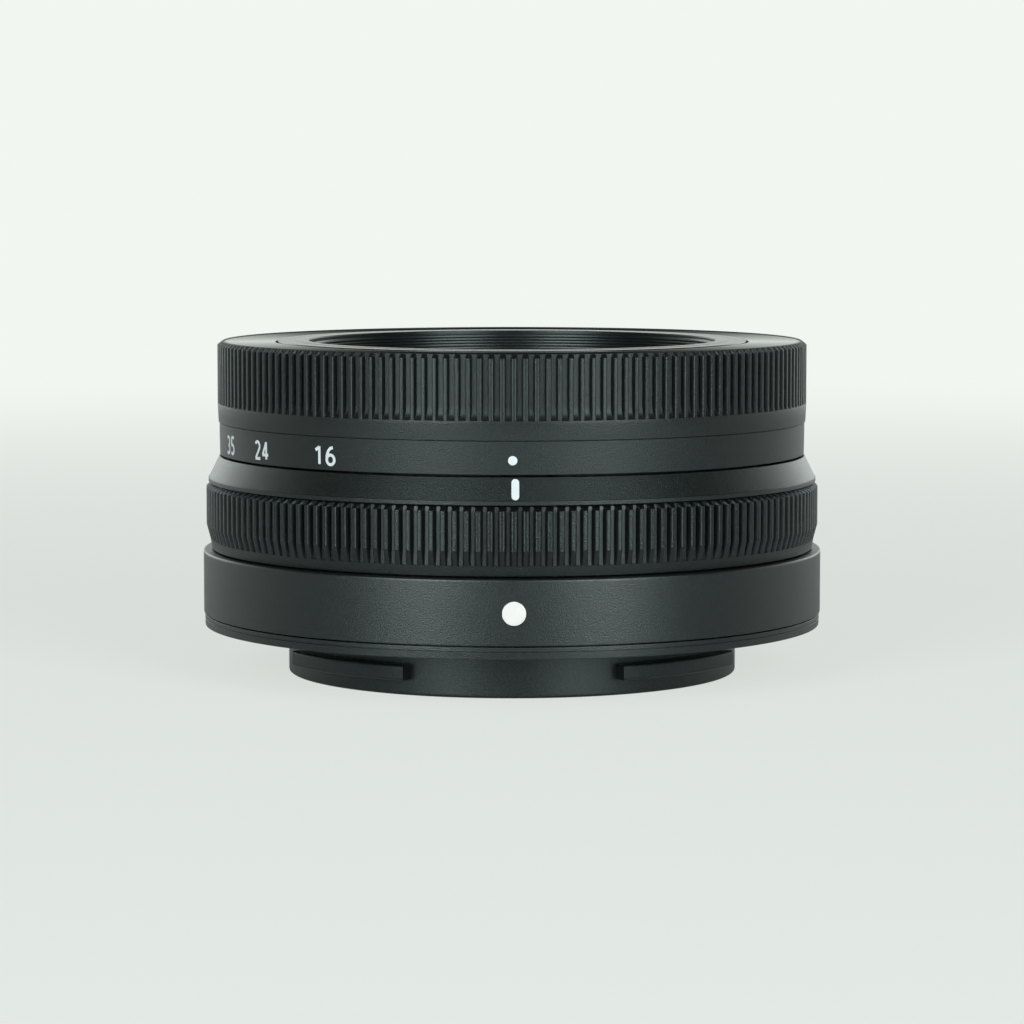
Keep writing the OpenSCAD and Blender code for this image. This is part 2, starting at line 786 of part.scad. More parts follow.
// Round plug at the place of the mounting index
module index_dot_shape(r, end_r) {
  spoke(r, drive_az, (cover_z0 + cover_z1) / 2, body_r - index_dot_depth, end_r);
}

// White mounting index with a low dome
module index_dot() {
  dot_r = index_dot_d / 2;
  dome_r = 2 * dot_r;
  color("white")
    intersection() {
      index_dot_shape(dot_r, body_r);
      rotate([0, 0, drive_az])
        translate([body_r - dome_r, 0, (cover_z0 + cover_z1) / 2])
          sphere(r = dome_r);
    }
}

// Plate with the rectangular light window
module rear_baffle() {
  color("#181818")
    difference() {
      disc(throat_r - fit_gap, baffle_z0, ledge_z);
      translate([-window_w / 2, -window_h / 2, baffle_z0 - over])
        cube([window_w, window_h, baffle_t + 2 * over]);
      ribbon_gate(baffle_z0, ledge_z);
    }
}

// Opening for the contact ribbon in a plate
module ribbon_gate(z0, z1) {
  block(contact_az, ribbon_r - ribbon_gap, ribbon_r + ribbon_t + ribbon_gap, ribbon_w + 2 * ribbon_gap,
        z0 - over, z1 + over);
}

// Curved block that carries the contacts
module contact_block() {
  color("#262626")
    difference() {
      sector(contact_block_r, contact_block_r - contact_w, contact_az, contact_arc, contact_z, baffle_z0);
      contact_places()
        disc(contact_d / 2 + fit_gap, contact_z - over, baffle_z0 - seat_t);
    }
}

// Places of the contacts along the block
module contact_places() {
  step = contact_arc / contact_count;
  for (i = [0 : contact_count - 1])
    rotate([0, 0, contact_az + (i - (contact_count - 1) / 2) * step])
      translate([contact_ring_r, 0, 0])
        children();
}

// Electric contacts
module contact_pins() {
  color("gold")
    contact_places()
      disc(contact_d / 2, contact_z - contact_rise, baffle_z0 - seat_t);
}

// Ribbon from the contacts to the main board
module contact_flex() {
  color("#7a4a16")
    block(contact_az, ribbon_r, ribbon_r + ribbon_t, ribbon_w, baffle_z0, board_z1);
}

// Fixed tube with straight guide slots
module guide_barrel() {
  color("#303030")
    difference() {
      union() {
        ring(guide_r, guide_ir, plate_z1, barrels_z1);
        ring(outer_ir - fit_gap, guide_ir, plate_z1, guide_flange_z1);
      }
      around(follower_count, front_pin_az)
        guide_slot(0, front_pin_z, front_travel);
      around(follower_count, front_pin_az - pin_lag)
        guide_slot(0, middle_pin_z, middle_travel);
      around(screw_count, screw_az)
        translate([screw_circle_r, 0, 0])
          disc(screw_d / 2 + fit_gap, 0, screw_length + fit_gap);
    }
}

// Fixed sleeve that carries the control ring and the index ring
module outer_barrel() {
  step_z = control_z0 + strip_h + 3 * ring_gap;
  shoulder_z = index_z0 - ring_gap / 2;
  top_z = index_z1 - ring_gap;
  color("#2a2a2a")
    difference() {
      rotate_extrude()
        polygon([
          [outer_ir, plate_z1],
          [outer_low_r, plate_z1],
          [outer_low_r, step_z],
          [outer_r, step_z],
          [outer_r, shoulder_z],
          [outer_neck_r, shoulder_z],
          [outer_neck_r, top_z],
          [outer_ir, top_z]
        ]);
      block(sensor_az, outer_ir - over, outer_r + over, sensor_w + 2 * run_gap,
            sensor_z - run_gap, sensor_z + sensor_h + run_gap);
    }
}

// Fixed cone ring under the zoom scale
module index_ring() {
  color("#1e1e1e")
    rotate_extrude()
      polygon([
        [outer_neck_r + fit_gap, index_z0],
        [index_foot_r - edge_chamfer / 2, index_z0],
        [index_foot_r, index_z0 + edge_chamfer / 2],
        [index_foot_r, index_z0 + index_foot_h],
        [scale_r + fit_gap, index_z1],
        [outer_neck_r + fit_gap, index_z1]
      ]);
}

// Main board, a part ring behind the optics
module main_board() {
  color("darkgreen")
    difference() {
      sector(board_r, board_hole_d / 2, board_az, board_arc, plate_z1, board_z1);
      block(contact_az, board_hole_d / 2 - over, ribbon_r + ribbon_t + ribbon_gap, ribbon_w + 2 * ribbon_gap,
            plate_z1 - over, board_z1 + over);
    }
}

// Chips and connectors on the main board
module board_chips() {
  mid_r = (board_hole_d / 2 + barrel_ir) / 2 - stop_gap;
  color("#151515")
    for (chip = [[20, 1], [150, 1], [-15, 0.6], [185, 0.6], [55, 0.5], [125, 0.5]]) {
      side = chip_w * chip[1];
      block(chip[0], mid_r - side / 2, mid_r + side / 2, side, board_z1, board_z1 + chip_h * chip[1]);
    }
}

// Sensor that reads the encoder strip
module control_sensor() {
  color("#101820")
    block(sensor_az, outer_ir - outer_wall / 2, outer_low_r - run_gap, sensor_w,
          sensor_z, sensor_z + sensor_h);
}

// Holder of the rear lens with the focus supports
module rear_cell() {
  color("#222222")
    difference() {
      union() {
        ring(rear_cell_r, rear_bore_r, rear_seat_z, rear_cell_z1);
        ring(rear_cell_r, rear_bore_r - cell_lip, rear_cell_z0, rear_seat_z);
        ring(cover_hole_r - fit_gap, rear_bore_r, plate_z0, plate_z1);
      }
      post(rod_hole_r, drive_az, rod_r, plate_z0 - over, plate_z1 + over);
      post(rod_hole_r, guide_az, rod_r, plate_z0 - over, plate_z1 + over);
      post(lead_hole_r, drive_az, lead_r, plate_z0 + plate_t / 4, plate_z1 + over);
      ribbon_gate(plate_z0, plate_z1);
    }
}

// Rear lens
module rear_lens() {
  color("lightcyan")
    lens(rear_lens_d, rear_seat_z, 0, rear_vertex_z, -rear_curve);
}

// Ring that holds the rear lens
module rear_retainer() {
  color("#2c2c2c")
    ring(rear_bore_r - fit_gap, rear_ring_r, rear_ring_z, rear_ring_z + seat_t);
}

// Two rods that guide the focus cell
module guide_rods() {
  color("silver") {
    post(rod_d / 2, drive_az, rod_r, plate_z0, bridge_z1);
    post(rod_d / 2, guide_az, rod_r, plate_z0, bridge_z1);
  }
}

// Plate over the focus group, on two legs
module focus_bridge() {
  color("#3a3a3a")
    difference() {
      union() {
        ring(bridge_r, bridge_hole_r, bridge_z0, bridge_z1);
        sector(bridge_tab_r, bridge_r - over, drive_az, bridge_tab_angle, bridge_z0, bridge_z1);
        for (side = [-1, 1])
          post(leg_d / 2, drive_az + side * leg_angle, leg_r, plate_z1, bridge_z0 + over);
      }
      post(rod_hole_r, drive_az, rod_r, bridge_z0 - over, bridge_z1 + over);
      post(rod_hole_r, guide_az, rod_r, bridge_z0 - over, bridge_z1 + over);
      post(lead_hole_r, drive_az, lead_r, bridge_z0 - over, bridge_z1 + over);
    }
}

// Stepping motor that turns the lead screw
module focus_motor() {
  color("silver")
    difference() {
      post(motor_d / 2, drive_az, lead_r, bridge_z1, bridge_z1 + motor_h);
      post(lead_hole_r, drive_az, lead_r, bridge_z1 - over, bridge_z1 + motor_h / 2);
    }
}

// Threaded spindle of the focus drive
module lead_screw() {
  color("gainsboro")
    post(lead_d / 2, drive_az, lead_r, plate_z0 + plate_t / 4 + shaft_gap,
         bridge_z1 + motor_h / 2 - shaft_gap);
}

// Ribbed control ring
module control_ring() {
  rib_z0 = control_z0 + neck_h;
  rib_z1 = control_z1 - rib_end;
  color("#1a1a1a")
    union() {
      rotate_extrude()
        polygon([
          [control_ir, control_z0],
          [control_floor_r, control_z0],
          [control_floor_r, control_z1 - edge_chamfer / 2],
          [control_floor_r - edge_chamfer / 2, control_z1],
          [control_ir, control_z1]
        ]);
      intersection() {
        translate([0, 0, rib_z0])
          linear_extrude(height = rib_z1 - rib_z0)
            toothed_outline(control_r, control_root_r, control_root_r - control_wall / 4, rib_count, rib_w);
        rotate_extrude()
          polygon([
            [0, rib_z0],
            [control_floor_r, rib_z0],
            [control_r + fit_gap, rib_z0 + taper_h],
            [control_r + fit_gap, rib_z1],
            [0, rib_z1]
          ]);
      }
    }
}

// Toothed strip that the control sensor reads
module encoder_strip() {
  strip_r = control_ir - fit_gap;
  strip_floor = outer_low_r + run_gap;
  color("lightgray")
    translate([0, 0, sensor_z])
      linear_extrude(height = strip_h)
        difference() {
          circle(r = strip_r);
          toothed_outline(strip_floor + strip_recess / 4, strip_floor, 0, strip_teeth,
                          PI * strip_floor / strip_teeth);
          circle(r = strip_floor);
        }
}

// Ribbed zoom ring with scale band and front lip
module zoom_ring() {
  rib_z0 = grip_z0 + rib_lip;
  rib_z1 = front_z - face_fall - rib_end;
  edge_z = front_z - face_fall;
  color("#1a1a1a")
    union() {
      rotate_extrude()
        polygon([
          [zoom_ir, zoom_z0],
          [scale_r - edge_chamfer / 2, zoom_z0],
          [scale_r, zoom_z0 + edge_chamfer / 2],
          [scale_r, flare_z0],
          [grip_r, grip_z0],
          [grip_r, rib_z0],
          [grip_floor_r, rib_z0],
          [grip_floor_r, edge_z - edge_chamfer / 2],
          [grip_floor_r - edge_chamfer / 2, edge_z],
          [mouth_r, front_z],
          [mouth_r, lip_z0],
          [zoom_ir, lip_z0]
        ]);
      translate([0, 0, rib_z0])
        linear_extrude(height = rib_z1 - rib_z0)
          toothed_outline(grip_r - fit_gap, grip_root_r, grip_root_r - zoom_wall / 4, rib_count, rib_w);
    }
}

// Tube with the helical slots that drive the lens groups
module cam_barrel() {
  color("#4a4a4a")
    difference() {
      ring(cam_r, cam_ir, cam_z0, barrels_z1);
      around(follower_count, front_pin_az)
        cam_slot(0, front_pin_z, front_travel);
      around(follower_count, front_pin_az - pin_lag)
        cam_slot(0, middle_pin_z, middle_travel);
    }
}

// Keys that turn the cam barrel with the zoom ring
module zoom_keys() {
  key_z1 = barrels_z1 - run_gap;
  color("#606060")
    intersection() {
      ring(zoom_ir - fit_gap, cam_r + fit_gap, key_z1 - key_h, key_z1);
      around(follower_count, front_pin_az)
        block(0, cam_ir, grip_r, key_w, key_z1 - key_h - over, key_z1 + over);
    }
}

// Felt seal round the front barrel
module felt_ring() {
  color("#0c0c0c")
    ring(cam_r, barrel_r + run_gap, lip_z0 - felt_t, lip_z0);
}

// Tube that slides out, with the filter thread
module front_barrel() {
  notch_z1 = middle_pin_z + foot_notch_w / 2;
  color("#202020")
    difference() {
      rotate_extrude()
        polygon([
          [barrel_ir, barrel_foot_z],
          [barrel_r, barrel_foot_z],
          [barrel_r, front_z - edge_chamfer],
          [barrel_r - edge_chamfer, front_z],
          [filter_r + edge_chamfer, front_z],
          [filter_r, front_z - edge_chamfer],
          [filter_r, trim_z1],
          [trim_seat_r, trim_z1],
          [trim_seat_r, shelf_z1],
          [shelf_r, shelf_z1],
          [shelf_r, shelf_z0],
          [barrel_ir, shelf_z0]
        ]);
      around(follower_count, front_pin_az)
        spoke(pin_r + fit_gap, 0, front_pin_z, barrel_ir - over, barrel_r + over);
      around(follower_count, front_pin_az - pin_lag)
        block(0, barrel_ir - over, barrel_r + over, foot_notch_w, barrel_foot_z - over, notch_z1);
      around(cell_screw_count, cell_screw_az)
        translate([cell_screw_r, 0, 0])
          disc(cell_screw_d / 2 + fit_gap, shelf_z0 - over, shelf_z0 + shelf_t * 3 / 4);
    }
}

// Followers of the front barrel
module front_pins() {
  color("gainsboro")
    around(follower_count, front_pin_az)
      spoke(pin_r, 0, front_pin_z, barrel_ir + run_gap, follower_end_r);
}

// Plain trim ring round the front lens
module front_trim() {
  foot_z = front_vertex_z - sag(front_curve, trim_ir) + stop_gap;
  color("#161616")
    rotate_extrude()
      polygon([
        [trim_r, shelf_z1],
        [trim_r, trim_z1],
        [trim_r - trim_rim_w, trim_z1],
        [trim_ir, foot_z + trim_t],
        [trim_ir, foot_z],
        [trim_ir + cell_lip, foot_z],
        [trim_r - trim_rim_w, trim_z1 - trim_t],
        [trim_r - trim_rim_w, shelf_z1]
      ]);
}

// Holder of the three front lenses
module front_cell() {
  color("#242424")
    difference() {
      rotate_extrude()
        polygon([
          [third_bore_r - cell_lip, front_cell_z0],
          [front_cell_r, front_cell_z0],
          [front_cell_r, cell_flange_z0],
          [cell_flange_r, cell_flange_z0],
          [cell_flange_r, shelf_z0],
          [front_bore_r, shelf_z0],
          [front_bore_r, front_back_z],
          [second_bore_r, front_back_z],
          [second_bore_r, second_rim_z],
          [third_bore_r, second_rim_z],
          [third_bore_r, third_back_z],
          [third_bore_r - cell_lip, third_back_z]
        ]);
      around(cell_screw_count, cell_screw_az)
        translate([cell_screw_r, 0, 0])
          disc(cell_screw_d / 2 + fit_gap, cell_flange_z0 - over, shelf_z0 + over);
    }
}

// Screws that hold the front cell
module cell_screws() {
  color("silver")
    around(cell_screw_count, cell_screw_az)
      translate([cell_screw_r, 0, 0]) {
        disc(cell_screw_d / 2, cell_flange_z0 - over / 2, shelf_z0 + shelf_t / 2);
        disc(cell_screw_head_d / 2, cell_flange_z0 - cell_screw_head_h, cell_flange_z0);
      }
}

// Front lens, hollow behind, with a flat rim
module front_lens() {
  color("lightcyan")
    difference() {
      lens(front_lens_d, front_back_z, 0, front_vertex_z, -front_curve);
      lens(2 * hollow_r, front_back_z - over, 0, front_back_z + front_hollow, -hollow_curve);
    }
}

// Second lens, hollow behind
module second_lens() {
  color("lightcyan")
    lens(second_lens_d, second_back_z, -second_curve, second_front_z, -second_front_curve);
}

// Third lens
module third_lens() {
  color("lightcyan")
    lens(third_lens_d, third_back_z, 0, third_front_z, -third_curve);
}

// Frame of the middle group
module middle_frame() {
  color("#2e2e2e")
    difference() {
      union() {
        ring(middle_r, doublet_bore_r, middle_z0, middle_z1);
        ring(middle_r, middle_r - middle_wall, middle_z0, middle_z0 + middle_wall_h);
        ring(doublet_boss_r, doublet_bore_r, doublet_z0, middle_z1);
        ring(doublet_boss_r, doublet_bore_r - cell_lip, doublet_z0 - run_gap, doublet_z0);
        ring(iris_base_r, cavity_r, middle_z0, iris_z0);
        for (x = [ear_a, ear_b])
          translate([x - ear_l / 2, -shift_rod_r - ear_w / 2, middle_z1 - over])
            cube([ear_l, ear_w, shift_rod_z + shift_rod_d - middle_z1 + over]);
      }
      sector(middle_r + over, notch_r, drive_az, notch_angle, middle_z0 - over,
             middle_z0 + middle_wall_h + over);
      around(follower_count, front_pin_az - pin_lag)
        spoke(pin_r + fit_gap, 0, middle_pin_z, middle_r - middle_wall - over, middle_r + over);
      shift_leg(shift_rod_d / 2 + shaft_gap, -shift_rod_r - over, rod_tail + over);
    }
}

// Leg of the shift rod along X
module shift_leg(r, x0, x1) {
  translate([x0, -shift_rod_r, shift_rod_z])
    rotate([0, 90, 0])
      cylinder(r = r, h = x1 - x0);
}

// Leg of the shift rod along Y
module shift_side_leg(r, y0, y1) {
  translate([-shift_rod_r, y1, shift_rod_z])
    rotate([90, 0, 0])
      cylinder(r = r, h = y1 - y0);
}

// Followers of the middle frame
module middle_pins() {
  color("gainsboro")
    around(follower_count, front_pin_az - pin_lag)
      spoke(pin_r, 0, middle_pin_z, middle_r - middle_wall + run_gap, follower_end_r);
}

// Plate with the blade pivots
module iris_base() {
  color("#333333")
    difference() {
      ring(iris_base_r, iris_open_r, iris_z0, iris_z1);
      around(blade_count, 0)
        post(blade_pin_d / 2 + shaft_gap, 0, blade_pivot_r, iris_z0 - over, iris_z1 + over);
    }
}

// Cover of the iris with the seat of the fourth lens
module iris_cover() {
  boss_z = iris_cover_z1 + cell_lip;
  color("#333333")
    rotate_extrude()
      polygon([
        [fourth_bore_r - seat_t, iris_cover_z0],
        [iris_skirt_ir, iris_cover_z0],
        [iris_skirt_ir, iris_z1],
        [iris_skirt_r, iris_z1],
        [iris_skirt_r, iris_cover_z1],
        [fourth_bore_r + cell_lip, iris_cover_z1],
        [fourth_bore_r + cell_lip, boss_z],
        [fourth_bore_r, boss_z],
        [fourth_bore_r, fourth_seat_z],
        [fourth_bore_r - seat_t, fourth_seat_z]
      ]);
}

// Fourth lens
module fourth_lens() {
  color("lightcyan")
    lens(fourth_lens_d, fourth_seat_z, 0, fourth_seat_z + fourth_lens_t, -fourth_curve);
}

// Rear half of the cemented doublet
module doublet_rear() {
  color("lightcyan")
    lens(doublet_d, doublet_z0, 0, doublet_z0 + doublet_rear_t, doublet_curve);
}

// Front half of the cemented doublet
module doublet_front() {
  cement_z = doublet_z0 + doublet_rear_t;
  color("paleturquoise")
    lens(doublet_d, cement_z, doublet_curve, cement_z + doublet_front_t, 0);
}

// Flat coils of the stabiliser
module shift_coils() {
  coil_h = ball_d * 2 / 3;
  color("peru")
    for (az = [0, 90])
      difference() {
        block(az, magnet_r - magnet_l / 2, magnet_r + magnet_l / 2, magnet_w, middle_z1, middle_z1 + coil_h);
        block(az, magnet_r - magnet_l / 6, magnet_r + magnet_l / 6, magnet_w / 2, middle_z1 - over,
              middle_z1 + coil_h + over);
      }
}

// Balls that the shift frame rolls on
module shift_balls() {
  color("whitesmoke")
    for (az = ball_places)
      rotate([0, 0, az])
        translate([ball_r, 0, middle_z1 + ball_d / 2 + fit_gap])
          sphere(r = ball_d / 2);
}

// Ring that drives the blades
module iris_ring() {
  color("#565656")
    difference() {
      ring(iris_ring_r, iris_ring_ir, iris_ring_z0, iris_ring_z0 + iris_ring_t);
      around(blade_count, 0)
        translate([0, 0, iris_ring_z0 - over])
          linear_extrude(height = iris_ring_t + 2 * over)
            drive_slot();
    }
}

// Place of the drive pin, seen from the ring, at the share t of the travel
function drive_point(t) =
  turned([blade_pivot_r, 0] + turned([0, blade_crank], t * blade_turn), -t * iris_turn);

// Round end of a drive slot at the point p, heading along v
function slot_end(p, v, half) =
  let (steps = 12, a = atan2(v[1], v[0]) + 90)
    [for (i = [1 : steps - 1]) p + on_circle(half, a - 180 * i / steps)];

// Outline of one drive slot
module drive_slot() {
  steps = 12;
  half = blade_pin_d / 2 + shaft_gap;
  path = [for (i = [0 : steps]) drive_point(i / steps)];
  along = [for (i = [0 : steps]) drive_point((i + 1) / steps) - drive_point((i - 1) / steps)];
  side = [for (v = along) [-v[1], v[0]] / norm(v) * half];
  polygon(concat(
    [for (i = [0 : steps]) path[i] + side[i]],
    slot_end(path[steps], along[steps], half),
    [for (i = [0 : steps]) path[steps - i] - side[steps - i]],
    slot_end(path[0], -along[0], half)
  ));
}

// One iris blade with its pivot pin and drive pin
module iris_blade(i) {
  z = blade_z0 + i * blade_pitch;
  leaf_r = iris_open_r + blade_w;
  boss = blade_pin_d;
  color("#484848")
    rotate([0, 0, i * 360 / blade_count]) {
      translate([0, 0, z])
        linear_extrude(height = blade_t)
          union() {
            blade_outline(leaf_r);
            translate([blade_pivot_r, 0])
              circle(r = boss);
            translate([blade_pivot_r, blade_crank])
              circle(r = boss);
            translate([blade_pivot_r - boss, 0])
              square([2 * boss, blade_crank]);
            translate([leaf_r - blade_w / 2, 0])
              square([blade_pivot_r - leaf_r + blade_w / 2, blade_crank]);
          }
      translate([blade_pivot_r, 0, iris_z0 + shaft_gap])
        cylinder(r = blade_pin_d / 2, h = z + blade_t - iris_z0 - shaft_gap);
      translate([blade_pivot_r, blade_crank, z])
        cylinder(r = blade_pin_d / 2, h = iris_ring_z0 + iris_ring_t - z);
    }
}

// Crescent of an iris blade
module blade_outline(leaf_r) {
  steps = 24;
  polygon(concat(
    [for (i = [0 : steps]) on_circle(leaf_r, i * blade_span / steps)],
    [for (i = [0 : steps]) on_circle(iris_open_r, (steps - i) * blade_span / steps)]
  ));
}

// L-shaped rod that guides the shift frame
module shift_rod() {
  color("silver")
    union() {
      shift_leg(shift_rod_d / 2, -shift_rod_r, rod_tail);
      shift_side_leg(shift_rod_d / 2, -shift_rod_r, rod_tail);
      translate([-shift_rod_r, -shift_rod_r, shift_rod_z])
        sphere(r = shift_rod_d / 2);
    }
}

// Frame that moves the shift lens sideways
module shift_frame() {
  land_t = shift_frame_t / 2;
  low_z = shift_rod_z - shift_rod_d / 2 - 2 * shaft_gap;
  color("#3c3c3c")
    difference() {
      union() {
        ring(shift_ring_r, shift_bore_r, shift_z0, shift_z0 + shift_frame_t);
        for (az = ball_places)
          post(ball_land_r, az, ball_r, shift_z0, shift_z0 + land_t);
        for (az = ball_places)
          block(az, shift_bore_r + over, ball_r, 2 * ball_land_r, shift_z0, shift_z0 + land_t);
        for (az = [0, 90])
          block(az, shift_bore_r + over, magnet_r + magnet_l / 2, magnet_w, shift_z0, shift_z0 + land_t);
        for (y = [ear_a, ear_b])
          translate([-shift_rod_r - ear_w / 2, y - ear_l / 2, low_z])
            cube([ear_w, ear_l, shift_z0 + land_t - low_z]);
        for (y = [ear_a, ear_b])
          translate([-shift_rod_r, y - ear_l / 2, shift_z0 + shaft_gap])
            cube([shift_rod_r - shift_bore_r, ear_l, land_t]);
      }
      disc(shift_bore_r, shift_z0 - over, shift_z0 + shift_frame_t + over);
      shift_side_leg(shift_rod_d / 2 + shaft_gap, -shift_rod_r - over, rod_tail + over);
    }
}

// Lens that steadies the picture
module shift_lens() {
  color("lightcyan")
    lens(shift_lens_d, shift_z0 + fit_gap, 0, shift_z0 + fit_gap + shift_core_t, shift_curve);
}

// Magnets on the shift frame
module shift_magnets() {
  land_z = shift_z0 + shift_frame_t / 2;
  color("darkgray")
    for (az = [0, 90])
      block(az, magnet_r - magnet_l / 2, magnet_r + magnet_l / 2, magnet_w, land_z,
            land_z + shift_frame_t / 2);
}

// Holder of the focus lens with its two arms
module focus_cell() {
  arm_z = focus_z0 + (focus_cell_h - arm_h) / 2;
  color("#303030")
    difference() {
      union() {
        ring(focus_cell_r, focus_bore_r - cell_lip, focus_z0, focus_z0 + seat_t);
        ring(focus_cell_r, focus_bore_r, focus_z0, focus_z0 + focus_cell_h);
        block(drive_az, focus_bore_r + over, lead_r + arm_w / 2, arm_w, arm_z, arm_z + arm_h);
        block(guide_az, focus_bore_r + over, rod_r + arm_w / 2, arm_w, arm_z, arm_z + arm_h);
        post(arm_w / 2, drive_az, rod_r, focus_z0, focus_z0 + focus_cell_h);
      }
      post(rod_hole_r, drive_az, rod_r, focus_z0 - over, focus_z0 + focus_cell_h + over);
      post(rod_hole_r, guide_az, rod_r, focus_z0 - over, focus_z0 + focus_cell_h + over);
      post(lead_hole_r, drive_az, lead_r, focus_z0 - over, focus_z0 + focus_cell_h + over);
    }
}

// Focus lens
module focus_lens() {
  color("lightcyan")
    lens(focus_lens_d, focus_z0 + seat_t, 0, focus_z0 + seat_t + focus_lens_t, focus_curve);
}

mount_ring();
mount_screws();
seam_ring();
rear_cover();
index_dot();
rear_baffle();
contact_block();
contact_pins();
contact_flex();
guide_barrel();
outer_barrel();
index_ring();
main_board();
board_chips();
control_sensor();
rear_cell();
rear_lens();
rear_retainer();
guide_rods();
focus_bridge();
focus_motor();
control_ring();
encoder_strip();
zoom_ring();
cam_barrel();
zoom_keys();
felt_ring();
front_barrel();
front_pins();
front_trim();
front_cell();
cell_screws();
front_lens();
second_lens();
third_lens();
middle_frame();
middle_pins();
iris_base();
iris_cover();
fourth_lens();
doublet_front();
doublet_rear();
shift_coils();
shift_balls();
iris_ring();
iris_blade(0);  // iris_blade_1
iris_blade(1);  // iris_blade_2
iris_blade(2);  // iris_blade_3
iris_blade(3);  // iris_blade_4
iris_blade(4);  // iris_blade_5
iris_blade(5);  // iris_blade_6
iris_blade(6);  // iris_blade_7
shift_rod();
shift_frame();
shift_lens();
shift_magnets();
focus_cell();
focus_lens();
lead_screw();
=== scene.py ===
import math

import bmesh
import bpy
from mathutils import Matrix, Vector


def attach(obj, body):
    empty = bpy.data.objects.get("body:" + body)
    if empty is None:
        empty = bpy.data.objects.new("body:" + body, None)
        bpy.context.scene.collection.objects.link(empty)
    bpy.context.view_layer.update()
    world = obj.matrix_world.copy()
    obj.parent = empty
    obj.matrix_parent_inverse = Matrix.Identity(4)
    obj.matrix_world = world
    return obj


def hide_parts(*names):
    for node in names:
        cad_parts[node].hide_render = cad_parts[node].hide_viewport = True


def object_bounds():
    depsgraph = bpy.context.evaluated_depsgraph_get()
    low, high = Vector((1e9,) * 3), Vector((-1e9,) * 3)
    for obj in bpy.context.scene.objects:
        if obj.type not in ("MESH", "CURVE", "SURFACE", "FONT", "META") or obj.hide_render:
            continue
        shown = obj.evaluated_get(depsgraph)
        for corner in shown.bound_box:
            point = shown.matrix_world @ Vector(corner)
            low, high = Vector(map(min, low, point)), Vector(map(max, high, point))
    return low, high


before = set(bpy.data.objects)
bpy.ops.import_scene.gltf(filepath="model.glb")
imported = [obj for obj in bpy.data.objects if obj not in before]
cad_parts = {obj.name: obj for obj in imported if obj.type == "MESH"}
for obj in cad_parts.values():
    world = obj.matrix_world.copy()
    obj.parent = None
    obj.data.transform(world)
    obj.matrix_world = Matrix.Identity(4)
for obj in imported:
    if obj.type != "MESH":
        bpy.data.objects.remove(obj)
cad_box = [list(corner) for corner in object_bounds()]


# Bayonet mount: flange, spigot and four lugs that lock the lens to a camera.
# Moulded in one piece from glass-filled plastic, with a smooth seat on the flange,
# and countersunk for the four screws that hold it to the rear cover.
mm = 0.001


class Wire:
    """An output socket of a node tree, with the operators that the finishes are written in."""

    def __init__(self, tree, socket=None):
        self.tree, self.socket = tree, socket

    def add(self, kind, settings=None, sockets=None, out=0):
        """A new node with its settings, then its sockets' values or links; gives one output."""
        node = self.tree.nodes.new(kind)
        for name, value in (settings or {}).items():
            setattr(node, name, value)
        for name, value in (sockets or {}).items():
            if isinstance(value, Wire):
                self.tree.links.new(value.socket, node.inputs[name])
            else:
                node.inputs[name].default_value = value
        return Wire(self.tree, node.outputs[out] if node.outputs else None)

    def math(self, operation, *values):
        return self.add("ShaderNodeMath", {"operation": operation}, dict(enumerate(values)))

    def __add__(self, other):
        return self.math("ADD", self, other)

    def __sub__(self, other):
        return self.math("SUBTRACT", self, other)

    def __mul__(self, other):
        return self.math("MULTIPLY", self, other)

    def __truediv__(self, other):
        return self.math("DIVIDE", self, other)

    def __radd__(self, other):
        return self.math("ADD", other, self)

    def __rsub__(self, other):
        return self.math("SUBTRACT", other, self)

    def __rmul__(self, other):
        return self.math("MULTIPLY", other, self)

    def mix(self, plain, full):
        return self.add("ShaderNodeMix", {"data_type": "RGBA"}, {0: self, 6: plain, 7: full}, 2)

    def ramp(self, low, high):
        return self.add("ShaderNodeMapRange", {"interpolation_type": "SMOOTHSTEP"},
                        {"Value": self, "From Min": low, "From Max": high})

    def noise(self, scale, detail=2.0):
        return self.add("ShaderNodeTexNoise", {},
                        {"Vector": self, "Scale": scale, "Detail": detail})

    def specks(self, scale, size):
        near = self.add("ShaderNodeTexVoronoi", {}, {"Vector": self, "Scale": scale})
        return 1 - near.ramp(size * 0.6, size)

    def bump(self, depth):
        return self.add("ShaderNodeBump", {}, {"Height": self, "Distance": depth})

    def parts(self):
        first = self.add("ShaderNodeSeparateXYZ", {}, {0: self})
        return [Wire(self.tree, socket) for socket in first.socket.node.outputs]

    def off_axis(self):
        x, y, _ = self.parts()
        return self.math("SQRT", x * x + y * y)


def finish(name, paint, **steady):
    """A material from paint(place), which gives the sockets that vary over the surface."""
    material = bpy.data.materials.new(name)
    material.use_nodes = True
    tree = material.node_tree
    tree.nodes.clear()
    place = Wire(tree).add("ShaderNodeTexCoord", out="Object")
    sockets = {key.replace("_", " "): value for key, value in steady.items()}
    shader = place.add("ShaderNodeBsdfPrincipled", {}, {**sockets, **paint(place)})
    place.add("ShaderNodeOutputMaterial", {}, {"Surface": shader})
    return material


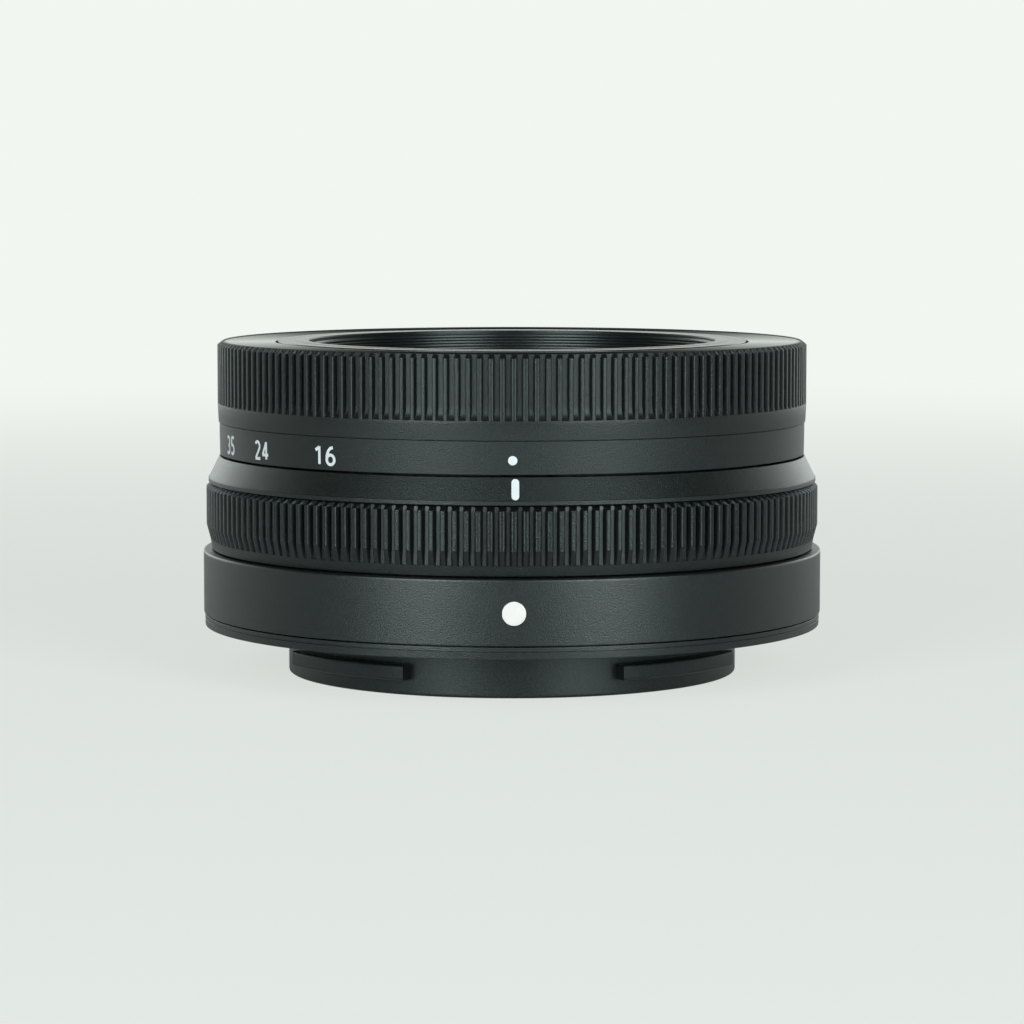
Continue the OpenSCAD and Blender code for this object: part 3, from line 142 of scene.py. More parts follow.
def moulded(name, tone, roughness, grain, polished=None, shine=0.5):
    """Moulded black plastic: slow clouds of tone, a fine spark grain, a little dust,
    and a smoother skin outside the polished radius, where fingers rub it."""
    deepest, palest = 0.2, 2.2
    dark, light = ((tone * k * 0.8, tone * k * 1.06, tone * k * 1.03, 1) for k in (deepest, palest))
    dust = (0.085, 0.09, 0.088, 1)
    cloud_scale, grit_scale, dust_scale, dust_size = 150, 8500, 620, 0.05
    grit_gloss, rub_gloss, dust_gloss, rub_edge = 0.16, 0.11, 0.2, 0.06

    def paint(place):
        cloud, grit = place.noise(cloud_scale), place.noise(grit_scale, 1)
        fleck = place.specks(dust_scale, dust_size)
        gloss = roughness + grit_gloss * (grit - 0.5)
        if polished:
            rubbed = place.off_axis().ramp((polished - rub_edge) * mm, polished * mm)
            gloss = gloss - rub_gloss * rubbed
        shade = grit.ramp(0.32, 0.68) * (0.7 + 0.6 * cloud)
        return {"Base Color": (0.5 * fleck).mix(shade.mix(dark, light), dust),
                "Roughness": gloss + dust_gloss * fleck,
                "Normal": grit.bump(grain)}

    return finish(name, paint, Specular_Tint=(0.88, 1, 0.99, 1), Specular_IOR_Level=shine)


def rounded(corners):
    """The outline through (r, z) corners; a third number at a corner is its fillet radius."""
    fillet_steps, lead_in = 4, 1.5
    outline = []
    for i, corner in enumerate(corners):
        here = Vector(corner[:2])
        if len(corner) < 3:
            outline.append(here)
            continue
        to_last = Vector(corners[i - 1][:2]) - here
        to_next = Vector(corners[(i + 1) % len(corners)][:2]) - here
        back, ahead = to_last.normalized(), to_next.normalized()
        half = back.angle(ahead) / 2
        reach = corner[2] / math.tan(half)
        centre = here + (back + ahead).normalized() * corner[2] / math.sin(half)
        first = here + back * reach - centre
        turn = math.pi - 2 * half
        if back.x * ahead.y - back.y * ahead.x > 0:
            turn = -turn
        outline.append(here + back * reach * min(lead_in, to_last.length / reach))
        for step in range(fillet_steps + 1):
            outline.append(centre + Matrix.Rotation(turn * step / fillet_steps, 2) @ first)
        outline.append(here + ahead * reach * min(lead_in, to_next.length / reach))
    return outline


crease, weld_gap = 35, 1e-7


def piece_of(name, mesh, material):
    """A new object from a bmesh, shaded smooth up to the crease angle in degrees."""
    bmesh.ops.remove_doubles(mesh, verts=mesh.verts, dist=weld_gap)
    data = bpy.data.meshes.new(name)
    mesh.to_mesh(data)
    mesh.free()
    data.polygons.foreach_set("use_smooth", [True] * len(data.polygons))
    data.set_sharp_from_angle(angle=math.radians(crease))
    data.materials.append(material)
    piece = bpy.data.objects.new(name, data)
    bpy.context.scene.collection.objects.link(piece)
    return piece


def lathe(name, corners, material, sides=360, arc=None):
    """An outline in mm, run anticlockwise, turned about the lens axis or along an arc."""
    outline = rounded(corners)
    mesh = bmesh.new()
    start, span = arc or (0, 360)
    rows = []
    for k in range(sides + 1 if arc else sides):
        a = math.radians(start + span * k / sides)
        rows.append([mesh.verts.new((r * math.cos(a) * mm, r * math.sin(a) * mm, z * mm))
                     for r, z in outline])
    for k in range(sides):
        here, following = rows[k], rows[(k + 1) % len(rows)]
        for i in range(len(outline)):
            j = (i + 1) % len(outline)
            if outline[i].x > 0 or outline[j].x > 0:
                mesh.faces.new((here[i], following[i], following[j], here[j]))
    if arc:
        mesh.faces.new(rows[0])
        mesh.faces.new(rows[-1][::-1])
    return piece_of(name, mesh, material)


def moved(piece, x, y, z):
    """The piece with its mesh shifted, in mm."""
    piece.data.transform(Matrix.Translation(Vector((x, y, z)) * mm))
    return piece


def settled(piece, smooth=crease):
    """The piece with its modifiers made part of its mesh."""
    bpy.context.view_layer.update()
    graph = bpy.context.evaluated_depsgraph_get()
    data = bpy.data.meshes.new_from_object(piece.evaluated_get(graph))
    piece.modifiers.clear()
    piece.data = data
    data.set_sharp_from_angle(angle=math.radians(smooth))
    return piece


def joined(piece, *others):
    """The piece with the others made part of its mesh."""
    whole = bmesh.new()
    for part in (piece, *others):
        whole.from_mesh(part.data)
    whole.to_mesh(piece.data)
    whole.free()
    for part in others:
        bpy.data.objects.remove(part)
    return piece


def bored(piece, cutter):
    """The piece with the cutter's shape taken out of it."""
    modifier = piece.modifiers.new("bore", "BOOLEAN")
    modifier.operation, modifier.solver, modifier.object = "DIFFERENCE", "EXACT", cutter
    settled(piece)
    bpy.data.objects.remove(cutter)
    return piece


def rule_tree(name, inputs):
    """A geometry tree with named inputs, the inputs' identifiers and their wires."""
    tree = bpy.data.node_groups.new(name, "GeometryNodeTree")
    keys = {label: tree.interface.new_socket(
        label, in_out="INPUT", socket_type="NodeSocket" + kind).identifier
        for label, kind in inputs.items()}
    tree.interface.new_socket("Piece", in_out="OUTPUT", socket_type="NodeSocketGeometry")
    wires = {s.name: Wire(tree, s) for s in tree.nodes.new("NodeGroupInput").outputs}
    return tree, keys, wires


def close_tree(shape, material):
    """Ends a geometry tree with its copies made real and its finish put on."""
    real = shape.add("GeometryNodeRealizeInstances", {}, {0: shape})
    coated = real.add("GeometryNodeSetMaterial", {}, {"Geometry": real, "Material": material})
    coated.add("NodeGroupOutput", {}, {0: coated})


def grown(piece, tree, keys, sizes, smooth=crease):
    """The piece made by a geometry tree from the given sizes, as a plain mesh."""
    modifier = piece.modifiers.new("rule", "NODES")
    modifier.node_group = tree
    for label, value in sizes.items():
        modifier[keys[label]] = value
    return settled(piece, smooth)


ring_of_copies, ring_keys, given = rule_tree("ring_of_copies", {
    "Shape": "Geometry", "Count": "Int", "First angle": "Float", "Step": "Float",
    "Finish": "Material"})
spots = given["Count"].add("GeometryNodePoints", {}, {"Count": given["Count"]})
turned_by = spots.add("GeometryNodeInputIndex") * given["Step"] + given["First angle"]
facing = spots.add("FunctionNodeEulerToRotation", {}, {
    0: spots.add("ShaderNodeCombineXYZ", {}, {"Z": turned_by})})
copies = spots.add("GeometryNodeInstanceOnPoints", {}, {
    "Points": spots, "Instance": given["Shape"], "Rotation": facing})
close_tree(copies, given["Finish"])


def around(piece, count, step, first=0.0, smooth=crease):
    """The piece copied count times about the lens axis, step degrees apart."""
    return grown(piece, ring_of_copies, ring_keys, {
        "Count": count, "First angle": math.radians(first), "Step": math.radians(step),
        "Finish": piece.data.materials[0]}, smooth)


def hold(piece, body, slot, *nodes):
    """Puts a finished piece on its body, in place of the CAD nodes that it stands for."""
    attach(piece, body)
    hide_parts(*nodes)


def dress(material, *nodes):
    """Gives CAD nodes whose shape is right a finish of their own."""
    for node in nodes:
        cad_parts[node].material_slots[0].material = material


mount_black = moulded("mount_black", 0.009, 0.34, 9e-6)
screw_count, screw_step, screw_first, screw_ring_r = 4, 90, 45, 29.4
lug_count, lug_step, lug_first, lug_span = 4, 90, 26, 38
mount = lathe("bayonet", [
    (22.6, -5.4, 0.25), (25.4, -5.4, 0.25), (25.4, 0.3), (27.35, 0.3), (27.35, 0, 0.08),
    (31.3, 0, 0.15), (31.3, 1.6), (21.6, 1.6), (21.6, -1.4), (22.6, -1.4)], mount_black)
countersinks = around(moved(lathe("countersinks", [
    (0, -0.2), (1.6, -0.2), (0.85, 0.75), (0.85, 2), (0, 2)], mount_black, 48),
    screw_ring_r, 0, 0), screw_count, screw_step, screw_first)
bored(mount, countersinks)
bored(mount, moved(lathe("lock_hole", [
    (0, -0.2), (1.5, -0.2), (1.3, 0.12), (1.3, 1), (0, 1)], mount_black, 48), -screw_ring_r, 0, 0))
lugs = around(lathe("lugs", [
    (25.2, -3.6), (27.2, -3.6, 0.25), (27.2, -1.9, 0.25), (25.2, -1.9)],
    mount_black, 40, (lug_first, lug_span)), lug_count, lug_step)
hold(joined(mount, lugs), "body", "mount_plastic", "mount_ring")


# Mount screws: four cross-head steel screws with countersunk heads, blackened on the shank.
# They are cold headed and rolled, and pull the mount down onto the rear cover's plate.
def metal(name, light, dark, roughness, streak=900, depth=1e-6):
    """Machined or plated metal with fine tool marks and a little tarnish."""
    def paint(place):
        marks, tarnish = place.noise(streak, 4), place.noise(320)
        return {"Base Color": tarnish.mix(dark, light),
                "Roughness": roughness + 0.12 * (marks - 0.5),
                "Normal": marks.bump(depth)}

    return finish(name, paint, Metallic=1.0)


screw_steel = metal("screw_steel", (0.62, 0.61, 0.59, 1), (0.46, 0.45, 0.44, 1), 0.28, 4000)
screw = lathe("mount_screw_heads", [
    (0, 0.02), (1.38, 0.02, 0.08), (1.38, 0.1), (0.8, 0.7), (0.8, 3.2, 0.2), (0, 3.2)],
    screw_steel, 48)
arm, wing, recess_taper, recess_depth = 0.24, 0.82, 0.55, 0.6
cross = [(arm, arm), (arm, wing), (-arm, wing), (-arm, arm), (-wing, arm), (-wing, -arm),
         (-arm, -arm), (-arm, -wing), (arm, -wing), (arm, -arm), (wing, -arm), (wing, arm)]
recess = bmesh.new()
floor_ring = [recess.verts.new((x * recess_taper * mm, y * recess_taper * mm, recess_depth * mm))
              for x, y in cross]
mouth_ring = [recess.verts.new((x * mm, y * mm, -0.1 * mm)) for x, y in cross]
recess.faces.new(floor_ring)
recess.faces.new(mouth_ring[::-1])
for i in range(len(cross)):
    recess.faces.new((mouth_ring[i - 1], mouth_ring[i], floor_ring[i], floor_ring[i - 1]))
bored(screw, piece_of("cross_recess", recess, screw_steel))
hold(around(moved(screw, screw_ring_r, 0, 0), screw_count, screw_step, screw_first),
     "body", "steel", "mount_screws")


# Rear baffle and contact carrier: matt black mouldings inside the spigot.
# The baffle's square window trims stray light and the carrier holds the contacts in an arc.
inner_matt = moulded("inner_matt", 0.008, 0.58, 1.5e-5)
dress(inner_matt, "rear_baffle", "contact_block")


# Contact pins: eleven sprung pins, turned from brass and gold plated, with domed tips.
# They sit in the carrier's holes and stand a little proud of it.
gold_plate = metal("gold_plate", (0.86, 0.62, 0.25, 1), (0.74, 0.5, 0.19, 1), 0.22, 3000)
pin_count, pin_step, pin_ring_r = 11, 6, 20.85
contact = moved(lathe("contact_tips", [
    (0, -5.2), (0.22, -5.18), (0.42, -5.11), (0.56, -5.0), (0.64, -4.85), (0.65, -4.7),
    (0.65, -2.7), (0, -2.7)], gold_plate, 32), pin_ring_r, 0, 0)
hold(around(contact, pin_count, pin_step, 90 - pin_step * (pin_count - 1) / 2),
     "body", "gold", "contact_pins")


# Contact ribbon: a flexible strip of amber film with printed tracks.
# It is soldered behind the pins and runs forward to the main board.
def film(place):
    x, _, _ = place.parts()
    tracks_per_m = 1250
    track = x.math("SINE", x * (math.tau * tracks_per_m)).ramp(-0.2, 0.3)
    return {"Base Color": track.mix((0.5, 0.22, 0.05, 1), (0.34, 0.13, 0.03, 1)),
            "Roughness": 0.34 + 0.1 * place.noise(900)}


dress(finish("amber_film", film), "contact_flex")


# Seam ring: the thin black trim that closes the joint between the mount and the cover.
# It is a moulded hoop with a fine line round it, and snaps in behind the flange.
satin_black = moulded("satin_black", 0.004, 0.32, 2.3e-5, shine=0.66)
hold(lathe("seam_trim", [
    (31.35, 0.2), (34.3, 0.2), (34.36, 0.05), (34.86, 0.05, 0.06), (34.88, 0.8, 0.02),
    (34.81, 0.83), (34.81, 0.87), (34.88, 0.9, 0.02), (34.88, 1.34, 0.05), (34.05, 1.36),
    (34.05, 1.54), (31.35, 1.54)], satin_black),
    "body", "black_plastic", "seam_ring")


# Rear cover: the plain black base of the lens, a moulded cup with an inner plate.
# Its wall is left bare, with a rounded upper edge and one hole for the mounting index.
wall_r, dot_z, dot_r = 35, 4.92, 1.28
cover = lathe("cover_shell", [
    (24.5, 1.6), (34.1, 1.6), (34.1, 1.49), (wall_r, 1.49, 0.06), (wall_r, 8.56, 0.22),
    (32.7, 8.6), (32.7, 2.6), (24.5, 2.6)], satin_black)
hole_r, hole_depth = 1.34, 1
peg_hole = lathe("peg_hole", [(0, 0), (hole_r, 0), (hole_r, 2), (0, 2)], satin_black, 64)
peg_hole.data.transform(Matrix.Rotation(math.radians(90), 4, "X"))
bored(cover, moved(peg_hole, 0, hole_depth - wall_r, dot_z))
cover_holes = around(moved(lathe("cover_holes", [
    (0, 1), (0.85, 1), (0.85, 3), (0, 3)], satin_black, 32), screw_ring_r, 0, 0),
    screw_count, screw_step, screw_first)
hold(bored(cover, cover_holes), "body", "black_plastic", "rear_cover")


# Mounting index: a white plug pressed into the cover, which is lined up with the camera.
# It is moulded plastic with a low polished dome that comes up flush with the wall.
def enamel(name, dark, light):
    """A hard white skin with a faint bloom in its tone and gloss."""
    return finish(name, lambda place: {
        "Base Color": place.noise(700).mix(dark, light),
        "Roughness": 0.3 + 0.12 * place.noise(2500),
        "Normal": place.noise(3000).bump(2e-6)})


white_enamel = enamel("white_enamel", (0.74, 0.7, 0.69, 1), (0.82, 0.78, 0.77, 1))
dome_foot, dome_high = 0.82, 0.08
dome = [(dot_r * math.sin(a), dome_foot + dome_high * math.cos(a))
        for a in (math.radians(90 - 9 * k) for k in range(1, 10))]
plug = lathe("index_plug", [(0, 0), (dot_r, 0), (dot_r, 0.78)] + dome
             + [(0, dome_foot + dome_high)], white_enamel, 72)
plug.data.transform(Matrix.Rotation(math.radians(90), 4, "X"))
hold(moved(plug, 0, dome_foot + dome_high - wall_r, dot_z), "body", "white", "index_dot")


# Inner fixed tubes: the guide barrel with its straight slots, and the sleeve under the rings.
# The barrel is die cast and black anodised, the sleeve is moulded, and both are screwed
# to the cover's plate.
black_anodised = finish("black_anodised", lambda place: {
    "Base Color": place.noise(240).mix((0.028, 0.028, 0.03, 1), (0.04, 0.04, 0.042, 1)),
    "Roughness": 0.42 + 0.16 * place.noise(3000),
    "Normal": place.noise(5000).bump(3e-6)}, Metallic=0.35)
dress(black_anodised, "guide_barrel")
dress(inner_matt, "outer_barrel")


# Main board: a crescent of green board with its chips, behind the rear optics.
# Solder mask covers the copper tracks, and the chips are moulded epoxy.
def solder_mask(place):
    x, y, _ = place.parts()
    lane_turns = 2600
    lanes = place.math("SINE", (x + y) * lane_turns).ramp(0.5, 0.75)
    patch = place.noise(160).ramp(0.48, 0.54)
    return {"Base Color": (lanes * patch).mix((0.012, 0.1, 0.04, 1), (0.03, 0.19, 0.07, 1)),
            "Roughness": 0.3 + 0.1 * place.noise(1500),
            "Normal": (lanes * patch).bump(1.5e-5)}


dress(finish("solder_mask", solder_mask), "main_board")
dress(moulded("chip_epoxy", 0.02, 0.5, 8e-6), "board_chips", "control_sensor")


# Rear optics: the last lens in its moulded cell, clamped by a threaded ring.
# The glass is ground and polished, coated on both faces, and blackened at its edge.
def optics(name, thickness):
    """Polished optical glass with an interference coating and a trace of wiping haze."""
    def paint(place):
        haze = place.noise(120).ramp(0.45, 0.8)
        return {"Base Color": haze.mix((0.985, 1.0, 0.99, 1), (0.96, 0.985, 0.975, 1)),
                "Roughness": 0.002 + 0.012 * haze}

    return finish(name, paint, Transmission_Weight=1.0, IOR=1.62,
                  Thin_Film_Thickness=thickness, Thin_Film_IOR=1.38)


def sag(bend, r):
    """How far a face of that curve falls or rises at a distance r from the axis."""
    if bend == 0:
        return 0
    return math.copysign(abs(bend) - math.sqrt(bend * bend - r * r), bend)


face_steps = 24


def lens(name, body, d, back, back_bend, front, front_bend, coating):
    """A lens from its diameter and its two faces, each a place on the axis and a curve."""
    radii = [d / 2 * k / face_steps for k in range(face_steps + 1)]
    corners = [(r, back + sag(back_bend, r)) for r in radii]
    corners += [(r, front + sag(front_bend, r)) for r in radii[::-1]]
    glass = lathe(name + "_glass", corners, coating, 128)
    hold(glass, body, "glass", name)


green_coat, violet_coat = optics("green_coat", 380.0), optics("violet_coat", 290.0)
lens("rear_lens", "body", 24.4, -0.75, 0, 2.35, -40, green_coat)
dress(inner_matt, "rear_cell", "rear_retainer")


# Focus drive: two ground rods and a bridge that guide the focus cell, a stepper motor on top
# and the lead screw that it turns. Rods and screw are steel, the bridge is cast and anodised.
rod_steel = metal("rod_steel", (0.66, 0.66, 0.65, 1), (0.55, 0.55, 0.55, 1), 0.18, 2500)
motor_can = metal("motor_can", (0.58, 0.57, 0.54, 1), (0.48, 0.47, 0.45, 1), 0.34, 1200)


def rolled_thread(place):
    _, _, z = place.parts()
    screw_pitch = 0.5 * mm
    flank = z.math("FRACT", z / screw_pitch)
    ridge = z.math("ABSOLUTE", flank - 0.5)
    return {"Base Color": ridge.mix((0.62, 0.62, 0.6, 1), (0.3, 0.3, 0.29, 1)),
            "Roughness": 0.24 + 0.2 * place.noise(2500), "Normal": ridge.bump(2.5e-4)}


dress(rod_steel, "guide_rods")
dress(black_anodised, "focus_bridge")
dress(motor_can, "focus_motor")
dress(finish("rolled_thread", rolled_thread, Metallic=1.0), "lead_screw")
dress(inner_matt, "focus_cell")
lens("focus_lens", "focus", 14, 4.1, 0, 4.9, 42, violet_coat)


# Control ring: the lower ribbed ring, which turns freely under the fingers.
# Moulded black plastic with straight ribs that start on a taper and end in a chamfer,
# and a printed encoder strip inside that the fixed sensor reads.
rib_count = 172


def ribs(name, rows, floor, width, flank, material):
    """Straight ribs round the axis, from rows of (z, crown radius) in mm, with eased crowns."""
    sunk, ease_down, ease_in, crown_crease = 0.1, 0.035, 0.11, 10
    root, half, foot = floor - sunk, width / 2, width / 2 + flank
    bar = bmesh.new()
    sections = []
    for z, top in rows:
        points = [(root, -foot), (top - ease_down, -half), (top, ease_in - half),
                  (top, half - ease_in), (top - ease_down, half), (root, foot)]
        sections.append([bar.verts.new((r * mm, y * mm, z * mm)) for r, y in points])
    for low, high in zip(sections, sections[1:]):
        for i in range(len(low)):
            j = (i + 1) % len(low)
            bar.faces.new((low[i], low[j], high[j], high[i]))
    bar.faces.new(sections[0][::-1])
    bar.faces.new(sections[-1])
    bmesh.ops.recalc_face_normals(bar, faces=bar.faces)
    return around(piece_of(name, bar, material), rib_count, 360 / rib_count, 0, crown_crease)


control_r, control_floor = 34.65, 33.98
control_black = moulded("control_black", 0.004, 0.36, 2.6e-5, control_r)
control = lathe("control_grip", [
    (33.35, 8.9), (33.6, 8.74), (34.04, 8.74, 0.05), (34.22, 9.85), (control_floor, 9.87),
    (control_floor, 15.6, 0.5), (33.9, 16.08, 0.05), (33.8, 16.2), (33.35, 16.2)], control_black)
control_ribs = ribs("control_ribs", [
    (9.8, 34.21), (11.45, control_r), (15.66, control_r), (16.08, 34.02)],
    control_floor, 0.49, 0.23, control_black)
hold(joined(control, control_ribs), "control", "black_plastic", "control_ring")
encoder = finish("encoder_strip", lambda place: {
    "Base Color": place.noise(500).mix((0.5, 0.5, 0.49, 1), (0.62, 0.62, 0.6, 1)),
    "Roughness": 0.3 + 0.1 * place.noise(2500)}, Metallic=0.9)
dress(encoder, "encoder_strip")


# Index ring: the fixed cone between the two grips, with a white bar that reads the zoom scale.
# Moulded black plastic, pressed on the sleeve; the bar is printed in raised enamel.
index_black = moulded("index_black", 0.004, 0.33, 3.6e-5)
print_white = enamel("print_white", (0.67, 0.7, 0.73, 1), (0.74, 0.77, 0.79, 1))
cone_low, cone_high = (34.32, 16.76), (33.15, 19.15)
index = lathe("index_cone", [
    (32.55, 16.4), (34.1, 16.4), (34.15, 16.26), (34.4, 16.26, 0.05), (34.4, 16.72, 0.04),
    cone_low, (*cone_high, 0.06), (32.55, 19.15)], index_black)
hold(index, "body", "black_plastic", "index_ring")


def printed(name, shape, body, radius_at, angle, height):
    """A flat shape in mm laid on a round wall: x runs round it and y up it, in raised enamel."""
    proud, sunk = 0.015, 0.05
    bmesh.ops.triangulate(shape, faces=shape.faces)
    raised = bmesh.new()
    foot, skin = {}, {}
    for layer, lift in ((foot, -sunk), (skin, proud)):
        for corner in shape.verts:
            z = height + corner.co.y
            r = radius_at(z) + lift
            a = math.radians(angle) + corner.co.x / r
            layer[corner] = raised.verts.new(Vector((r * math.sin(a), -r * math.cos(a), z)) * mm)
        for face in shape.faces:
            raised.faces.new([layer[corner] for corner in face.verts])
    for edge in shape.edges:
        if edge.is_boundary:
            side = edge.link_loops[0]
            here, following = side.vert, side.link_loop_next.vert
            raised.faces.new((foot[following], foot[here], skin[here], skin[following]))
    shape.free()
    bmesh.ops.recalc_face_normals(raised, faces=raised.faces)
    mark = piece_of(name, raised, print_white)
    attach(mark, body)


def flat_shape(points):
    """One flat face through points in mm."""
    shape = bmesh.new()
    shape.faces.new([shape.verts.new((x, y, 0)) for x, y in points])
    return shape


def on_slope(low, high):
    """The radius at any height of a plain turned wall, from two of its (r, z) corners."""
    return lambda z: low[0] + (z - low[1]) / (high[1] - low[1]) * (high[0] - low[0])


bar_half, bar_w, bar_angle, bar_z, bar_steps = 1.08, 0.41, 0.23, 17.91, 24
bar_points = []
for k in range(bar_steps):
    a = math.tau * (k + 0.5) / bar_steps
    end = bar_half - bar_w if k < bar_steps / 2 else bar_w - bar_half
    bar_points.append((bar_w * math.cos(a), end + bar_w * math.sin(a)))
printed("index_bar", flat_shape(bar_points), "body", on_slope(cone_low, cone_high),
        bar_angle, bar_z)


# Zoom ring: the upper ribbed ring, with a smooth scale band and a flare under its ribs.
# Moulded black plastic: the ribs run into the flare's lip, and a finely turned face closes
# the front. The focal length figures and their dot are printed on the band.
zoom_r, zoom_floor = 33.31, 32.77
band_low, band_high = (33.07, 19.35), (33.12, 22.9)
face_z, face_pitch, face_depth = 31.98, 0.2, 0.038
zoom_black = moulded("zoom_black", 0.004, 0.42, 3e-5, zoom_r)


def grooved(outer, inner, z):
    """Fine turned rings on a front face, from its outer radius in, to break up glare."""
    count = round((outer - inner) / face_pitch)
    pitch = (outer - inner) / count
    return [point for k in range(count)
            for point in ((outer - k * pitch, z), (outer - (k + 0.5) * pitch, z - face_depth))]


run_out = [(33.28, 25.08), (32.98, 25.5), (32.91, 25.64), (32.86, 25.8), (32.82, 26.0),
           (32.79, 26.22), (32.775, 26.4)]
zoom = lathe("zoom_grip", [
    (31.55, 19.35), (*band_low, 0.08), band_high, (33.08, 22.95), (33.22, 23.01), (33.25, 23.6),
    (33.28, 24.2), (zoom_r, 24.8, 0.3), (zoom_r, 25.06, 0.03)] + run_out + [
    (zoom_floor, 26.7), (zoom_floor, 32.04, 0.04), (32.67, 32.09), (32.62, 32.08), (32.6, 31.75),
    (27.1, 31.75), (27.1, 30.9), (31.55, 30.9)], zoom_black)
zoom_ribs = ribs("zoom_ribs", [(25.04, zoom_r), (31.62, zoom_r), (32.02, 32.82)],
                 zoom_floor, 0.44, 0.16, zoom_black)
hold(joined(zoom, zoom_ribs), "zoom", "black_plastic", "zoom_ring")
face_black = moulded("face_black", 0.005, 0.1, 1e-6, shine=0.8)
zoom_face = lathe("zoom_face", [(26.8, 31.7), (32.58, 31.7), (32.58, 31.97)]
                  + grooved(32.5, 27.0, face_z) + [(26.92, face_z), (26.8, 31.88)], face_black)
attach(zoom_face, "zoom")
on_band = on_slope(band_low, band_high)
scale_z, scale_dot_r, scale_dot_angle, scale_dot_steps = 20.9, 0.49, -0.23, 32
dot = [(scale_dot_r * math.cos(a), scale_dot_r * math.sin(a))
       for a in (math.tau * k / scale_dot_steps for k in range(scale_dot_steps))]
printed("scale_dot", flat_shape(dot), "zoom", on_band, scale_dot_angle, scale_z)


def bow(x, y, wide, high, first, last):
    """Points along an ellipse, in parts of a figure's height, between two angles in degrees."""
    bow_step = 15
    count = max(3, int(abs(last - first) / bow_step))
    angles = [math.radians(first + (last - first) * k / count) for k in range(count + 1)]
    return [(x + wide * math.cos(a), y + high * math.sin(a)) for a in angles]


figure_strokes = {
    "0": [bow(0.27, 0.5, 0.2, 0.425, 90, 450)],
    "1": [[(0.08, 0.77), (0.3, 0.925)], [(0.3, 0.96), (0.3, 0.075)]],
    "2": [bow(0.25, 0.7, 0.2, 0.225, 150, -30) + [(0.08, 0.09)],
          [(0.05, 0.075), (0.49, 0.075)]],
    "3": [bow(0.22, 0.7, 0.19, 0.225, 145, -90), bow(0.2, 0.285, 0.23, 0.21, 90, -145)],
    "4": [[(0.36, 0.925), (0.05, 0.29)], [(0.03, 0.29), (0.52, 0.29)],
          [(0.36, 0.95), (0.36, 0.075)]],
    "5": [[(0.45, 0.925), (0.11, 0.925)], [(0.12, 0.925), (0.1, 0.52)],
          bow(0.22, 0.31, 0.22, 0.235, 125, -140)],
    "6": [bow(0.43, 0.36, 0.355, 0.565, 90, 180) + bow(0.29, 0.315, 0.215, 0.24, 180, 540)]}
figure_high, figure_wide, figure_pitch, figure_start, stroke_half = 2.15, 1.1, 0.66, -0.6, 0.078


def brushed(shape, path, left):
    """One stroke of a figure as a flat strip with square ends, its left side given in heights."""
    edges = []
    for k, (x, y) in enumerate(path):
        before, after = path[max(k - 1, 0)], path[min(k + 1, len(path) - 1)]
        along = Vector((after[0] - before[0], after[1] - before[1])).normalized() * stroke_half
        edges.append([shape.verts.new((((x + left) * figure_wide + side * -along.y) * figure_high,
                                       (y - 0.5 + side * along.x) * figure_high, 0))
                      for side in (1, -1)])
    for (a, b), (c, d) in zip(edges, edges[1:]):
        shape.faces.new((a, b, d, c))


for figures, angle in (("16", -37.6), ("24", -55.8), ("35", -70.5), ("50", -88)):
    shape = bmesh.new()
    for k, figure in enumerate(figures):
        for path in figure_strokes[figure]:
            brushed(shape, path, figure_start + figure_pitch * k)
    printed("scale_" + figures, shape, "zoom", on_band, angle, scale_z)


# Zoom drive: the cam barrel that the ring turns by three keys, and a felt seal at its front.
# The barrel is turned aluminium, black anodised, with milled cam slots.
dress(black_anodised, "cam_barrel")
dress(inner_matt, "zoom_keys")
dress(finish("black_felt", lambda place: {
    "Base Color": place.noise(5000, 4).mix((0.006, 0.006, 0.006, 1), (0.03, 0.03, 0.03, 1)),
    "Roughness": 0.85 + 0.1 * place.noise(2000),
    "Normal": place.noise(6000, 4).bump(3e-5)}, Sheen_Weight=0.4), "felt_ring")


# Front barrel: the tube that slides forward as the lens zooms, with a filter thread in its rim.
# Turned and black anodised; three steel pins at its foot run in the cam and guide slots.
thread_wall = 23.1
barrel_black = moulded("barrel_black", 0.005, 0.32, 1e-6, thread_wall)
barrel = lathe("slide_tube", [
    (25.3, 4.6), (26.5, 4.6), (26.5, 32.08, 0.12), (24.7, 32.08), (24.6, 32.05), (24.5, 32.1),
    (23, 32.1, 0.12), (23, 28.9), (22.7, 28.9), (22.7, 26.4), (22.2, 26.4), (22.2, 25.6),
    (25.3, 25.6)], barrel_black)
filter_thread, thread_keys, given = rule_tree("filter_thread", {
    "Turns": "Float", "Radius": "Float", "Height": "Float", "Ridge": "Float",
    "Finish": "Material"})
spiral = given["Turns"].add("GeometryNodeCurveSpiral", {}, {
    "Resolution": 120, "Rotations": given["Turns"], "Start Radius": given["Radius"],
    "End Radius": given["Radius"], "Height": given["Height"]})
upright = spiral.add("GeometryNodeSetCurveNormal", {"mode": "Z_UP"}, {"Curve": spiral})
ridge_round = spiral.add("GeometryNodeCurvePrimitiveCircle", {}, {
    "Resolution": 24, "Radius": given["Ridge"]})
swept = spiral.add("GeometryNodeCurveToMesh", {}, {
    "Curve": upright, "Profile Curve": ridge_round, "Fill Caps": True})
close_tree(swept, given["Finish"])
thread = bpy.data.objects.new("filter_ridges", bpy.data.meshes.new("filter_ridges"))
bpy.context.scene.collection.objects.link(thread)
grown(thread, filter_thread, thread_keys, {
    "Turns": 7.2, "Radius": 23.4 * mm, "Height": 2.5 * mm, "Ridge": 0.5 * mm,
    "Finish": barrel_black})
thread_z = 29.05
moved(thread, 0, 0, thread_z)
hold(joined(barrel, thread), "front", "black_plastic", "front_barrel")
dress(rod_steel, "front_pins", "middle_pins")


